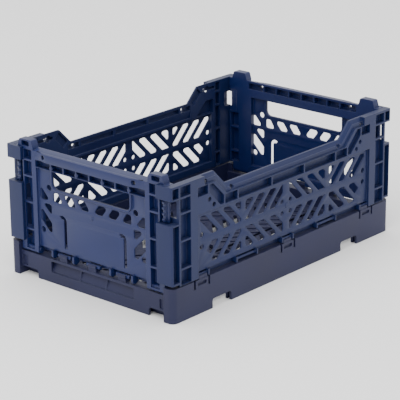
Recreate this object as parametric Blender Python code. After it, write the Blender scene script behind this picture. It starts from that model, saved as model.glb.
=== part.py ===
"""Small folding crate: a base tray, two long walls, two end walls and four sprung latch tongues.

Frame: origin under the middle of the tray, +X along the length, +Y along the width, +Z up.
Every wall is modelled facing -Y, with u along the wall, d inwards from its outer plane and z up.
Sizes below are in millimetres; MM turns them into Blender's metres.
"""

from math import acos, cos, degrees, radians, sin

import bmesh
import bpy
from mathutils import Matrix, Vector

MM = 0.001

# Overall sizes
LENGTH = 266.0
WIDTH = 171.0
RIM_Z = 105.0
PEG_HEIGHT = 6.0

# Shared clearances
WALL_FIT = 0.5       # between an end wall's edge and the long wall beside it
STOP_FIT = 0.4       # between an end wall's outer plane and the post that stops it
RUNNING_FIT = 0.3    # round every pivot
FOLD_FIT = 0.5       # under an end wall's rounded foot
LATCH_FIT = 0.7      # above and below a latch tongue

# Base tray
CORNER_R = 5.0
LONG_SKIRT_Z = 27.0
END_SKIRT_Z = 19.5
SKIRT_WALL = 2.2
INNER_SKIN = 1.7
FLOOR_Z = 8.0
FLOOR_T = 2.0
FLOOR_MARGIN = 8.0
FLOOR_ROWS = 6
FLOOR_BAND = 5.0
END_BEAM = 9.0
CORNER_BLOCK_IN = 9.5
CORNER_BLOCK_REACH = 4.0
BEAM_TOP_T = 2.0
HAND_SLOT_IN = 43.5
HAND_SLOT_Z = (10.5, 17.5)
HAND_SLOT_DEPTH = 5.0
LONG_NOTCH_IN = (43.5, 65.0)
NOTCH_Z = 7.0
CLIP_IN = 32.1
CLIP_HALF = 7.0
SLIT_W = 1.8
SLIT_BOTTOM_Z = 20.0

# Long walls
LONG_DEPTH = 6.0
LOW_RIM_Z = 92.5
SHOULDER_IN = 51.0
SHOULDER_RUN = 12.5
PANEL_SET_BACK = 2.5
PANEL_T = 2.0
POST_LEG = 15.5
POST_BOTTOM_Z = 29.5
WINDOW_Z = (76.0, 94.5)
WINDOW_W = 7.7
CELL_IN = (9.5, 20.5)
CELL_DEPTH = 4.2
CELL_MARGIN = 1.6     # plastic left round a column of cells
LEDGE = 1.2          # plastic left between two recesses
POST_EDGE = 1.4
LONG_CELL_RIBS = (40.5, 62.0, 83.0, 95.0)
RIB_T = 1.6
CHANNEL_END_IN = 28.5
LONG_CHANNEL_Z = 32.5
LONG_DIVIDERS = (6.5, 37.0, 61.0, 93.0)
LONG_PIVOT = (2.7, 29.8)
LONG_ROD_R = 1.2
LONG_CHANNEL_DEPTH = 5.0
RIM_CHANNEL_Z = (78.5, 85.5)
RIM_RIBS = (19.75, 59.5)
RIM_CHANNEL_DEPTH = 3.6
RIM_CHANNEL_PAST = 5.0   # how far it runs past the foot of the slope
# Pocket beside the slope, as distances from the foot of the slope and heights
SLOPE_POCKET = ((6.8, 80.0), (9.5, 85.5), (20.0, 97.0), (20.0, 90.5), (13.0, 82.0))
SHOULDER_POCKET_START = 9.0
SHOULDER_POCKET_Z = (91.0, 98.0)
SLOT_END_IN = 33.0
PANEL_BORDER = 4.0
SLOT_FOOT = 2.0      # from the middle of a web to the foot of the first slot

# End walls
END_INSET = 3.0
END_DEPTH = 6.5
END_PIVOT_D = 3.0
END_ROD_R = 1.6
END_CHANNEL_IN = 22.0
CORNER_FIT = 1.0     # between the foot of an end wall and the tray's corner blocks
KNUCKLES = (19.5, 42.0)
KNUCKLE_T = 2.6
END_PANEL_IN = 22.5
END_PANEL_SET_BACK = 2.0
END_CELL_IN = (9.5, 19.5)
END_CELL_RIBS = (39.0, 61.0, 82.0, 95.0)
CELL_BACK = 1.6
RAIL_CHANNEL_Z = (90.5, 96.5)
RAIL_DIVIDERS = (0.0, 13.5, 27.0, 40.5)
DIVIDER_T = 1.4
HAND_OPENING_IN = 38.5
HAND_OPENING_Z = (76.8, 89.0)
OPENING_CORNER = 2.5
GRIP_IN = 37.0
GRIP_RUN = 14.0
GRIP_PROUD = 2.4
GRIP_ROOT = 1.0      # how far into the wall its back face lies
STRAP_IN = (46.0, 52.0)
STRAP_TOP_Z = 56.0
STRAP_GAP = 1.3
STRAP_FOOT = 3.6     # above the bottom channel
STRAP_DEPTHS = (0.2, 2.3)
PEG_IN = 11.5
PEG_BASE_W = 16.0
PEG_TOP_W = 12.5
PEG_CELL_W = 8.0
PEG_CELL_Z = (0.8, 4.8)
PEG_CELL_BACK = 2.0

# Latch tongues
LATCH_W = 5.0
LATCH_PROUD = 1.0
LATCH_T = 4.6
LATCH_TRAVEL = 2.0
LATCH_DROP = 0.5     # how far its pocket reaches below the window
LATCH_TEETH = 4
TOOTH_MARGIN = 0.8
TOOTH_DEPTH = 0.6

# Slot pattern
SLOT_W = 7.8
SLOT_PITCH = 13.7
SLOT_CORNER = 1.5
UPPER_ROW = (58.7, 73.8)
LOWER_ROW = (37.0, 52.2)
WEB_U = 52.0
WEB_W = 6.5
CENTRE_WEB_W = 8.0
LEAST_SLOT_AREA = 12.0

END_ROW = (65.5, 71.3)
END_ROW_START = 2.5
END_ROW_MARGIN = 3.0
SIDE_HOLES_IN = 37.0
# Holes beside the panel's edge, as distances from SIDE_HOLES_IN and heights
SIDE_HOLES = (
    ((3.0, 65.5), (10.0, 65.5), (10.0, 73.0)),
    ((0.0, 54.0), (7.5, 61.0), (0.0, 61.0)),
    ((0.0, 40.5), (10.0, 50.0), (10.0, 55.5), (0.0, 46.0)),
)
SIDE_HOLE_CORNER = 1.0

# Hinge clips on the tray
CLIP_T = 1.0
END_CLIPS = (-30.75, 0.0, 30.75)
END_CLIP_HALF = 4.0
CRADLE_HALF = 4.5

# Worked out from the sizes above
HALF_L = LENGTH / 2
HALF_W = WIDTH / 2
END_PLANE = HALF_L - END_INSET
LONG_INNER = HALF_W - LONG_DEPTH
END_HALF = LONG_INNER - WALL_FIT
BEAM_INNER = END_PLANE - END_BEAM
BLOCK_INNER_Y = HALF_W - CORNER_BLOCK_IN
WALL_BOTTOM_Z = LONG_SKIRT_Z + 1.0
POST_T = END_INSET - STOP_FIT
ARC_R = END_DEPTH - END_PIVOT_D
END_PIVOT = (END_PIVOT_D, END_SKIRT_Z + FOLD_FIT + ARC_R)
END_CLIP_R = END_ROD_R + RUNNING_FIT + CLIP_T
END_CHANNEL_Z = END_PIVOT[1] + END_CLIP_R + STOP_FIT
END_CHANNEL_HALF = END_HALF - END_CHANNEL_IN
END_PANEL_HALF = END_HALF - END_PANEL_IN
END_CELL_U = (END_HALF - END_CELL_IN[1], END_HALF - END_CELL_IN[0])
HAND_OPENING_HALF = END_HALF - HAND_OPENING_IN
GRIP_HALF = END_HALF - GRIP_IN
STRAP_U = (END_HALF - STRAP_IN[1], END_HALF - STRAP_IN[0])
SIDE_HOLES_U = END_HALF - SIDE_HOLES_IN
PEG_U = END_HALF - PEG_IN
HAND_SLOT_HALF = HALF_W - HAND_SLOT_IN
LONG_NOTCH_U = (HALF_L - LONG_NOTCH_IN[1], HALF_L - LONG_NOTCH_IN[0])
CLIP_U = HALF_L - CLIP_IN
LONG_CHANNEL_HALF = HALF_L - CHANNEL_END_IN
CRADLE_U = LONG_CHANNEL_HALF - 1.0 - CRADLE_HALF
LATCH_POCKET_IN = LATCH_W + LATCH_TRAVEL + 3 * RUNNING_FIT

FACE = Matrix.Rotation(radians(90), 4, "X")
PROFILE = Matrix(((0, 0, 1, 0), (1, 0, 0, 0), (0, 1, 0, 0), (0, 0, 0, 1)))


def clear_scene():
    for obj in list(bpy.data.objects):
        bpy.data.objects.remove(obj, do_unlink=True)


def make_collection(name, is_cutter=False):
    collection = bpy.data.collections.new(name)
    bpy.context.scene.collection.children.link(collection)
    collection.hide_render = is_cutter
    return collection


def make_material(name, colour, roughness):
    material = bpy.data.materials.new(name)
    material.use_nodes = True
    shader = material.node_tree.nodes["Principled BSDF"]
    shader.inputs["Base Color"].default_value = (*colour, 1.0)
    shader.inputs["Roughness"].default_value = roughness
    shader.inputs["Metallic"].default_value = 0.0
    return material


# ---- mesh makers: each returns a mesh in metres ----


def box(low, high):
    centre = [(a + b) / 2 * MM for a, b in zip(low, high)]
    size = [abs(b - a) * MM for a, b in zip(low, high)]
    bm = bmesh.new()
    matrix = Matrix.Translation(centre) @ Matrix.Diagonal((*size, 1))
    bmesh.ops.create_cube(bm, size=1.0, matrix=matrix)
    mesh = bpy.data.meshes.new("box")
    bm.to_mesh(mesh)
    bm.free()
    return mesh


def rod(start, end, radius, segments=16):
    start, end = Vector(start) * MM, Vector(end) * MM
    along = end - start
    turn = Vector((0, 0, 1)).rotation_difference(along).to_matrix().to_4x4()
    bm = bmesh.new()
    bmesh.ops.create_cone(
        bm, cap_ends=True, segments=segments, radius1=radius * MM, radius2=radius * MM,
        depth=along.length, matrix=Matrix.Translation((start + end) / 2) @ turn)
    mesh = bpy.data.meshes.new("rod")
    bm.to_mesh(mesh)
    bm.free()
    return mesh


def plate(loops, low, high, frame=Matrix.Identity(4)):
    """Closed flat outlines, a loop inside another being a hole, filled and made high - low thick."""
    curve = bpy.data.curves.new("outline", "CURVE")
    curve.dimensions = "2D"
    curve.fill_mode = "BOTH"
    curve.extrude = (high - low) / 2 * MM
    for loop in loops:
        spline = curve.splines.new("POLY")
        spline.points.add(len(loop) - 1)
        for point, (x, y) in zip(spline.points, loop):
            point.co = (x * MM, y * MM, 0, 1)
        spline.use_cyclic_u = True
    holder = bpy.data.objects.new("outline", curve)
    bpy.context.scene.collection.objects.link(holder)
    bpy.context.view_layer.update()
    graph = bpy.context.evaluated_depsgraph_get()
    mesh = bpy.data.meshes.new_from_object(holder.evaluated_get(graph))
    bpy.data.objects.remove(holder, do_unlink=True)
    mesh.transform(frame @ Matrix.Translation((0, 0, (low + high) / 2 * MM)))
    return mesh


def wall_plate(loops, near, far):
    """Outlines in u and z, filling the depths from near to far behind the outer plane."""
    return plate(loops, -far, -near, FACE)


def wall_prism(outline, u_low, u_high):
    """A section in d and z, run along u."""
    return plate([outline], u_low, u_high, PROFILE)


def wall_box(u_range, near, far, z_range):
    return box((u_range[0], near, z_range[0]), (u_range[1], far, z_range[1]))


def joined(meshes):
    bm = bmesh.new()
    for mesh in meshes:
        bm.from_mesh(mesh)
    bmesh.ops.remove_doubles(bm, verts=bm.verts, dist=1e-7)
    bmesh.ops.recalc_face_normals(bm, faces=bm.faces)
    mesh = bpy.data.meshes.new("joined")
    bm.to_mesh(mesh)
    bm.free()
    return mesh


def both_sides(ranges):
    """Ranges along u on the +u side, and the same ones mirrored."""
    return [*ranges, *[(-high, -low) for low, high in ranges]]


def spans(low, high, dividers, thickness):
    """What is left of low to high between dividers of that thickness."""
    edges = [low]
    for centre in sorted(dividers):
        if low < centre - thickness / 2 and centre + thickness / 2 < high:
            edges += [centre - thickness / 2, centre + thickness / 2]
    edges.append(high)
    return list(zip(edges[::2], edges[1::2]))


# ---- outlines ----


def arc(centre, radius, start, end, steps):
    for i in range(steps + 1):
        angle = radians(start + (end - start) * i / steps)
        yield centre[0] + radius * cos(angle), centre[1] + radius * sin(angle)


def rounded_rectangle(half_x, half_y, radius, steps=4):
    points = []
    for sx, sy, start in ((1, 1, 0), (-1, 1, 90), (-1, -1, 180), (1, -1, 270)):
        centre = (sx * (half_x - radius), sy * (half_y - radius))
        points += arc(centre, radius, start, start + 90, steps)
    return points


def clipped(points, limit, keep_below):
    """The part of a polygon on one side of the upright line u = limit."""
    kept = []
    for (u1, z1), (u2, z2) in zip(points, points[1:] + points[:1]):
        inside1 = (u1 < limit) == keep_below
        inside2 = (u2 < limit) == keep_below
        if inside1:
            kept.append((u1, z1))
        if inside1 != inside2:
            share = (limit - u1) / (u2 - u1)
            kept.append((limit, z1 + share * (z2 - z1)))
    return kept


def area(points):
    pairs = zip(points, points[1:] + points[:1])
    return abs(sum(u1 * z2 - u2 * z1 for (u1, z1), (u2, z2) in pairs)) / 2


def eased(points, cut):
    """Each corner of a polygon cut off, by no more than a third of the sides beside it."""
    result = []
    for before, corner, after in zip(points[-1:] + points[:-1], points, points[1:] + points[:1]):
        for other in (before, after):
            away = Vector(other) - Vector(corner)
            step = min(cut, away.length / 3)
            result.append(tuple(Vector(corner) + away.normalized() * step))
    return result


def slot_row(u_range, z_range, lean, first):
    """Slots at 45 degrees between two webs; first is the foot of one of them, and lean its sense."""
    u_low, u_high = u_range
    rise = z_range[1] - z_range[0]
    start = first - SLOT_PITCH * int((first - u_low) / SLOT_PITCH + 3)
    slots = []
    for i in range(int((u_high - start) / SLOT_PITCH) + 4):
        foot = start + SLOT_PITCH * i
        shift = rise * lean
        slot = [(foot, z_range[0]), (foot + SLOT_W, z_range[0]),
                (foot + SLOT_W + shift, z_range[1]), (foot + shift, z_range[1])]
        slot = clipped(slot, u_low, False)
        slot = clipped(slot, u_high, True) if slot else slot
        if len(slot) > 2 and area(slot) > LEAST_SLOT_AREA:
            slots.append(eased(slot, SLOT_CORNER))
    return slots


def mirrored(loops):
    return [[(-u, z) for u, z in reversed(loop)] for loop in loops]


# ---- assembling ----


def add_cutter(name, meshes, cutters):
    cutter = bpy.data.objects.new(name, joined(meshes))
    cutter.hide_render = True
    cutter.display_type = "WIRE"
    cutters.objects.link(cutter)
    return cutter


def boolean(obj, operation, other):
    modifier = obj.modifiers.new(other.name, "BOOLEAN")
    modifier.operation = operation
    modifier.solver = "EXACT"
    modifier.object = other


def shaped(name, blank, steps, cutters):
    """A blank worked by (operation, name, meshes) steps, as one finished mesh."""
    obj = bpy.data.objects.new(name + "_blank", joined([blank]))
    obj.hide_render = True
    obj.display_type = "WIRE"
    cutters.objects.link(obj)
    for operation, step, meshes in steps:
        boolean(obj, operation, add_cutter(name + "_" + step, meshes, cutters))
    bpy.context.view_layer.update()
    graph = bpy.context.evaluated_depsgraph_get()
    mesh = bpy.data.meshes.new_from_object(obj.evaluated_get(graph))
    mesh.name = name
    return mesh


def place(name, mesh, material, pivot, turn, parts, parent=None):
    """The mesh as a named object, turned about the upright axis, with its origin on its pivot."""
    mesh = mesh.copy()
    mesh.transform(Matrix.Translation(-Vector(pivot) * MM))
    mesh.materials.clear()
    mesh.materials.append(material)
    turned = Matrix.Rotation(radians(turn), 4, "Z")
    obj = bpy.data.objects.new(name, mesh)
    obj.matrix_world = Matrix.Translation(turned @ (Vector(pivot) * MM)) @ turned
    parts.objects.link(obj)
    if parent:
        bpy.context.view_layer.update()
        obj.parent = parent
        obj.matrix_parent_inverse = parent.matrix_world.inverted()
    return obj


# ---- base tray, modelled where it stands ----


def hinge_clip(pivot, rod_r, foot_z):
    """Section of a clip that grips a rod from below: an open ring on a stem."""
    d, z = pivot
    inner = rod_r + RUNNING_FIT
    outer = inner + CLIP_T
    stem = 0.8 * outer
    ring = [(d - stem, foot_z), (d + stem, foot_z), *arc((d, z), outer, -37, 38, 4)]
    ring += [*arc((d, z), inner, 38, -218, 12), *arc((d, z), outer, 142, 217, 4)]
    return ring


def mirrored_boxes(low, high):
    """A box on the +X, +Y side, and its three mirror images."""
    return [box((s * low[0], t * low[1], low[2]), (s * high[0], t * high[1], high[2]))
            for s in (-1, 1) for t in (-1, 1)]


def tray_clips():
    """Rings that hold the end walls' axles, and cradles under the long walls' axles."""
    clips = []
    for side in (-90, 90):
        turn = Matrix.Rotation(radians(side), 4, "Z") @ Matrix.Translation((0, -END_PLANE * MM, 0))
        for centre in END_CLIPS:
            section = hinge_clip(END_PIVOT, END_ROD_R, END_SKIRT_Z - 1)
            clip = wall_prism(section, centre - END_CLIP_HALF, centre + END_CLIP_HALF)
            clip.transform(turn)
            clips.append(clip)
    near = LONG_PIVOT[0] - LONG_ROD_R - CLIP_T
    far = LONG_CHANNEL_DEPTH - RUNNING_FIT
    for side in (0, 180):
        turn = Matrix.Rotation(radians(side), 4, "Z") @ Matrix.Translation((0, -HALF_W * MM, 0))
        for centre in (-CRADLE_U, 0.0, CRADLE_U):
            cradle = wall_box((centre - CRADLE_HALF, centre + CRADLE_HALF), near, far,
                              (LONG_SKIRT_Z - 1, LONG_PIVOT[1] - 0.2))
            cradle.transform(turn)
            clips.append(cradle)
    return clips


def tray_bores():
    """Sockets in the corner blocks for the end axles, and grooves in the cradles for the long ones."""
    x, z = END_PLANE - END_PIVOT[0], END_PIVOT[1]
    y = HALF_W - LONG_PIVOT[0]
    sockets = [rod((s * x, t * (BLOCK_INNER_Y - 1), z), (s * x, t * (LONG_INNER + 1), z),
                   END_ROD_R + RUNNING_FIT) for s in (-1, 1) for t in (-1, 1)]
    reach = CRADLE_HALF + 1
    grooves = [rod((centre - reach, s * y, LONG_PIVOT[1]), (centre + reach, s * y, LONG_PIVOT[1]),
                   LONG_ROD_R + RUNNING_FIT) for s in (-1, 1) for centre in (-CRADLE_U, 0.0, CRADLE_U)]
    return sockets + grooves


def floor_slots():
    """Slanted slots in rows along the tray, each row leaning against the next, mirrored about its middle."""
    half_y = LONG_INNER - FLOOR_MARGIN
    row = 2 * half_y / FLOOR_ROWS
    slots = []
    for i in range(FLOOR_ROWS):
        low = -half_y + i * row
        y_range = (low + FLOOR_BAND / 2, low + row - FLOOR_BAND / 2)
        x_range = (CENTRE_WEB_W / 2, BEAM_INNER - FLOOR_MARGIN)
        loops = slot_row(x_range, y_range, 1 if i % 2 else -1, SLOT_PITCH)
        slots += loops + mirrored(loops)
    return plate(slots, FLOOR_Z - FLOOR_T - 2, FLOOR_Z + 2)


def tray_mesh(cutters):
    blank = plate([rounded_rectangle(HALF_L, HALF_W, CORNER_R)], 0, LONG_SKIRT_Z)
    over, under = LONG_SKIRT_Z + 5, -5
    outside = 2.0
    skirt_y = HALF_W - SKIRT_WALL
    well = [box((-BEAM_INNER, -LONG_INNER, FLOOR_Z), (BEAM_INNER, LONG_INNER, over))]
    set_back = [box((s * END_PLANE, -BLOCK_INNER_Y, under), (s * (HALF_L + outside), BLOCK_INNER_Y, over))
                for s in (-1, 1)]
    beam_tops = [box((s * (BEAM_INNER - 1), -BLOCK_INNER_Y, END_SKIRT_Z),
                     (s * (HALF_L + outside), BLOCK_INNER_Y, over)) for s in (-1, 1)]
    block_tops = mirrored_boxes((BEAM_INNER - 1, BLOCK_INNER_Y - 1, END_SKIRT_Z),
                                (END_PLANE - END_PIVOT_D - CORNER_BLOCK_REACH, LONG_INNER, over))
    under_floor = box((-BEAM_INNER + INNER_SKIN, -LONG_INNER, under),
                      (BEAM_INNER - INNER_SKIN, LONG_INNER, FLOOR_Z - FLOOR_T))

    beams, details = [], []
    for s in (-1, 1):
        beams.append(box((-HALF_L + 8, s * (LONG_INNER + INNER_SKIN), under),
                         (HALF_L - 8, s * skirt_y, LONG_SKIRT_Z - BEAM_TOP_T)))
        beams.append(box((s * (BEAM_INNER + INNER_SKIN), -BLOCK_INNER_Y + 1.5, under),
                         (s * (END_PLANE - SKIRT_WALL), BLOCK_INNER_Y - 1.5, END_SKIRT_Z - BEAM_TOP_T)))
        details.append(box((s * (END_PLANE - HAND_SLOT_DEPTH), -HAND_SLOT_HALF, HAND_SLOT_Z[0]),
                           (s * (END_PLANE + outside), HAND_SLOT_HALF, HAND_SLOT_Z[1])))
        for low, high in both_sides([LONG_NOTCH_U]):
            details.append(box((low, s * (LONG_INNER - 1), under), (high, s * (HALF_W + outside), NOTCH_Z)))
        for centre in (-CLIP_U, 0.0, CLIP_U):
            for low in (centre - CLIP_HALF - SLIT_W, centre + CLIP_HALF):
                details.append(box((low, s * (skirt_y - 0.5), SLIT_BOTTOM_Z),
                                   (low + SLIT_W, s * (HALF_W + outside), over)))
    details += mirrored_boxes((BEAM_INNER + INNER_SKIN, PEG_U - PEG_BASE_W / 2 - 1, under),
                              (END_PLANE + outside, PEG_U + PEG_BASE_W / 2 + 1, PEG_HEIGHT + 0.5))
    steps = [
        ("DIFFERENCE", "well", well),
        ("DIFFERENCE", "set_back", set_back),
        ("DIFFERENCE", "beam_tops", beam_tops),
        ("DIFFERENCE", "block_tops", block_tops),
        ("DIFFERENCE", "under_floor", [under_floor]),
        ("DIFFERENCE", "beams", beams),
        ("DIFFERENCE", "details", details),
        ("UNION", "clips", tray_clips()),
        ("DIFFERENCE", "bores", tray_bores()),
        ("DIFFERENCE", "floor_slots", [floor_slots()]),
    ]
    return shaped("tray", blank, steps, cutters)


# ---- long wall ----


def long_wall_mesh(cutters):
    shoulder = HALF_L - SHOULDER_IN
    low = shoulder - SHOULDER_RUN
    half = [(HALF_L, WALL_BOTTOM_Z), (HALF_L, RIM_Z), (shoulder, RIM_Z), (low, LOW_RIM_Z)]
    outline = half + [(-u, z) for u, z in reversed(half)]
    blank = wall_plate([outline], 0, LONG_DEPTH)

    cell = both_sides([(HALF_L - CELL_IN[1], HALF_L - CELL_IN[0])])
    post = both_sides([(HALF_L - WINDOW_W, HALF_L - POST_EDGE)])
    channel_end = LONG_CHANNEL_HALF
    dividers = [s * u for u in LONG_DIVIDERS for s in (-1, 1)]
    top = RIM_Z - CELL_MARGIN

    legs, lower_cut, windows, recess = [], [], [], []
    for s in (-1, 1):
        legs.append(wall_box((s * (HALF_L - POST_T), s * HALF_L), 0.5, POST_LEG, (POST_BOTTOM_Z, RIM_Z)))
        lower_cut.append(wall_box((s * (HALF_L - WINDOW_W), s * (HALF_L + 1)), -1, LONG_DEPTH + 1,
                                  (WALL_BOTTOM_Z - 1, POST_BOTTOM_Z)))
        windows.append(wall_box((s * (HALF_L - WINDOW_W), s * (HALF_L + 1)), -1, POST_LEG + 1, WINDOW_Z))
    for u_range in cell:
        for z_range in spans(WALL_BOTTOM_Z + CELL_MARGIN, top, LONG_CELL_RIBS, RIB_T):
            recess.append(wall_box(u_range, -1, CELL_DEPTH, z_range))
    for u_range in post:
        recess.append(wall_box(u_range, -1, CELL_DEPTH, (POST_BOTTOM_Z + LEDGE, WINDOW_Z[0] - LEDGE)))
        recess.append(wall_box(u_range, -1, CELL_DEPTH, (WINDOW_Z[1] + LEDGE, top)))
    for u_range in spans(-channel_end, channel_end, dividers, DIVIDER_T):
        recess.append(wall_box(u_range, -1, LONG_CHANNEL_DEPTH, (WALL_BOTTOM_Z - 1, LONG_CHANNEL_Z)))
    rim_end = low + RIM_CHANNEL_PAST
    ribs = [s * u for u in RIM_RIBS for s in (-1, 1)]
    for u_range in spans(-rim_end, rim_end, ribs, DIVIDER_T):
        recess.append(wall_box(u_range, -1, RIM_CHANNEL_DEPTH, RIM_CHANNEL_Z))
    for u_range in both_sides([(shoulder + SHOULDER_POCKET_START, channel_end)]):
        recess.append(wall_box(u_range, -1, RIM_CHANNEL_DEPTH, SHOULDER_POCKET_Z))
    slope = [(low + u, z) for u, z in SLOPE_POCKET]
    recess.append(wall_plate([slope], -1, RIM_CHANNEL_DEPTH))
    recess.append(wall_plate(mirrored([slope]), -1, RIM_CHANNEL_DEPTH))

    panel_z = (LONG_CHANNEL_Z + LEDGE, RIM_CHANNEL_Z[0] - LEDGE)
    panel = [wall_box((-channel_end, channel_end), -1, PANEL_SET_BACK, panel_z)]
    inside = LONG_DEPTH + 1
    behind = PANEL_SET_BACK + PANEL_T
    panel.append(wall_box((-channel_end + PANEL_BORDER, channel_end - PANEL_BORDER), behind, inside, panel_z))

    outer = (WEB_U + WEB_W / 2, HALF_L - SLOT_END_IN)
    inner = (CENTRE_WEB_W / 2, WEB_U - WEB_W / 2)
    foot = WEB_U + SLOT_FOOT
    inner_foot = WEB_U - SLOT_W - SLOT_FOOT
    slots = slot_row(outer, UPPER_ROW, 1, foot)
    slots += slot_row(outer, LOWER_ROW, -1, foot + UPPER_ROW[1] - UPPER_ROW[0])
    slots += slot_row(inner, UPPER_ROW, -1, inner_foot)
    slots += slot_row(inner, LOWER_ROW, 1, inner_foot - (LOWER_ROW[1] - LOWER_ROW[0]))
    slots += mirrored(slots)

    axle_end = channel_end + 1
    axle = rod((-axle_end, *LONG_PIVOT), (axle_end, *LONG_PIVOT), LONG_ROD_R)
    steps = [
        ("DIFFERENCE", "lower_cut", lower_cut),
        ("UNION", "post_legs", legs),
        ("DIFFERENCE", "windows", windows),
        ("DIFFERENCE", "recesses", recess),
        ("DIFFERENCE", "panel", panel),
        ("DIFFERENCE", "slots", [wall_plate(slots, -1, LONG_DEPTH + 1)]),
        ("UNION", "axle", [axle]),
    ]
    return shaped("long_wall", blank, steps, cutters)


# ---- end wall ----


def end_wall_mesh(cutters):
    d, z = END_PIVOT
    start = 180 + degrees(acos(d / ARC_R))
    section = [(END_DEPTH, RIM_Z), (0, RIM_Z), *arc((d, z), ARC_R, start, 360, 8)]
    blank = wall_prism(section, -END_HALF, END_HALF)
    through = END_DEPTH + 3

    open_cuts, recess, panel = [], [], []
    for u_range in both_sides([(BLOCK_INNER_Y - CORNER_FIT, END_HALF + 1)]):
        open_cuts.append(wall_box(u_range, -1, through, (z - ARC_R - 1, LONG_SKIRT_Z + 2)))
    for u_range in both_sides([(END_HALF - LATCH_POCKET_IN, END_HALF + 1)]):
        z_range = (WINDOW_Z[0] - LATCH_DROP, WINDOW_Z[1])
        open_cuts.append(wall_box(u_range, -1, through, z_range))
    knuckles = [s * u for u in KNUCKLES for s in (-1, 1)]
    for u_range in spans(-END_CHANNEL_HALF, END_CHANNEL_HALF, knuckles, KNUCKLE_T):
        open_cuts.append(wall_box(u_range, -1, through, (z - ARC_R - 1, END_CHANNEL_Z)))

    ribs = END_CELL_RIBS
    for u_range in both_sides([END_CELL_U]):
        for z_range in spans(z - 0.5, RIM_Z - CELL_MARGIN, ribs, RIB_T):
            recess.append(wall_box(u_range, -1, END_DEPTH - CELL_BACK, z_range))
    for u_range in spans(-END_CHANNEL_HALF, END_CHANNEL_HALF,
                         [*RAIL_DIVIDERS, *[-u for u in RAIL_DIVIDERS[1:]]], DIVIDER_T):
        recess.append(wall_box(u_range, -1, END_DEPTH - CELL_BACK, RAIL_CHANNEL_Z))
    opening = [(-HAND_OPENING_HALF, HAND_OPENING_Z[1]), (-HAND_OPENING_HALF, HAND_OPENING_Z[0]),
               (HAND_OPENING_HALF, HAND_OPENING_Z[0]), (HAND_OPENING_HALF, HAND_OPENING_Z[1])]
    hand = wall_plate([eased(opening, OPENING_CORNER)], -2, through)

    panel_z = (END_CHANNEL_Z + LEDGE, RAIL_CHANNEL_Z[0] - LEDGE)
    panel.append(wall_box((-END_PANEL_HALF, END_PANEL_HALF), -1, END_PANEL_SET_BACK, panel_z))
    behind = END_PANEL_SET_BACK + PANEL_T
    panel.append(wall_box((-END_PANEL_HALF - 1, END_PANEL_HALF + 1), behind, through,
                          (END_CHANNEL_Z + 2 * LEDGE, HAND_OPENING_Z[0] - 2 * LEDGE)))

    row = (END_ROW_START, HAND_OPENING_HALF - END_ROW_MARGIN)
    slots = slot_row(row, END_ROW, 1, END_ROW_START)
    for hole in SIDE_HOLES:
        slots.append(eased([(SIDE_HOLES_U + u, z) for u, z in hole], SIDE_HOLE_CORNER))
    foot, low, high = END_CHANNEL_Z + STRAP_FOOT, STRAP_U[0] - STRAP_GAP, STRAP_U[1] + STRAP_GAP
    slots.append([(low, foot), (high, foot), (high, STRAP_TOP_Z), (low, STRAP_TOP_Z)])
    slots += mirrored(slots)

    grip_end = GRIP_HALF + GRIP_RUN
    grip = plate([[(-grip_end, GRIP_ROOT), (grip_end, GRIP_ROOT),
                   (GRIP_HALF, -GRIP_PROUD), (-GRIP_HALF, -GRIP_PROUD)]], RAIL_CHANNEL_Z[1] + 0.4, RIM_Z)
    strap_z = (END_CHANNEL_Z + LEDGE / 2, STRAP_TOP_Z + STRAP_GAP)
    straps = [wall_box(u_range, *STRAP_DEPTHS, strap_z) for u_range in both_sides([STRAP_U])]
    pegs, peg_cells = [], []
    for s in (-1, 1):
        u = s * PEG_U
        peg = [(u - PEG_BASE_W / 2, RIM_Z - 1), (u + PEG_BASE_W / 2, RIM_Z - 1),
               (u + PEG_BASE_W / 2, RIM_Z), (u + PEG_TOP_W / 2, RIM_Z + PEG_HEIGHT),
               (u - PEG_TOP_W / 2, RIM_Z + PEG_HEIGHT), (u - PEG_BASE_W / 2, RIM_Z)]
        pegs.append(wall_plate([peg], 0, END_DEPTH))
        peg_cells.append(wall_box((u - PEG_CELL_W / 2, u + PEG_CELL_W / 2), -1, END_DEPTH - PEG_CELL_BACK,
                                  (RIM_Z + PEG_CELL_Z[0], RIM_Z + PEG_CELL_Z[1])))
    axle = rod((-END_HALF + WALL_FIT, d, z), (END_HALF - WALL_FIT, d, z), END_ROD_R)
    steps = [
        ("DIFFERENCE", "open_cuts", open_cuts),
        ("DIFFERENCE", "recesses", recess),
        ("DIFFERENCE", "panel", panel),
        ("DIFFERENCE", "hand_opening", [hand]),
        ("DIFFERENCE", "slots", [wall_plate(slots, -1, through)]),
        ("UNION", "grip", [grip]),
        ("UNION", "straps", straps),
        ("UNION", "pegs", pegs),
        ("DIFFERENCE", "peg_cells", peg_cells),
        ("UNION", "axle", [axle]),
    ]
    return shaped("end_wall", blank, steps, cutters)


def latch_mesh(side, cutters):
    """A sprung tongue: an upright bar with a pressed pad at its outer face and a shelf at the top."""
    outer = END_HALF
    inner = outer - LATCH_W
    low, high = WINDOW_Z[0] - LATCH_DROP + LATCH_FIT, WINDOW_Z[1] - LATCH_FIT
    bar = wall_box((side * inner, side * outer), TOOTH_DEPTH - LATCH_PROUD, LATCH_T - LATCH_PROUD, (low, high))
    teeth = []
    tooth = (high - low) / (2 * LATCH_TEETH)
    for i in range(LATCH_TEETH):
        middle = low + tooth * (2 * i + 1)
        u_range = (side * (inner + TOOTH_MARGIN), side * (outer - TOOTH_MARGIN))
        teeth.append(wall_box(u_range, -LATCH_PROUD, 0, (middle - tooth / 2, middle + tooth / 2)))
    name = "latch_" + ("far" if side > 0 else "near")
    return shaped(name, bar, [("UNION", "teeth", teeth)], cutters)


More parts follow.
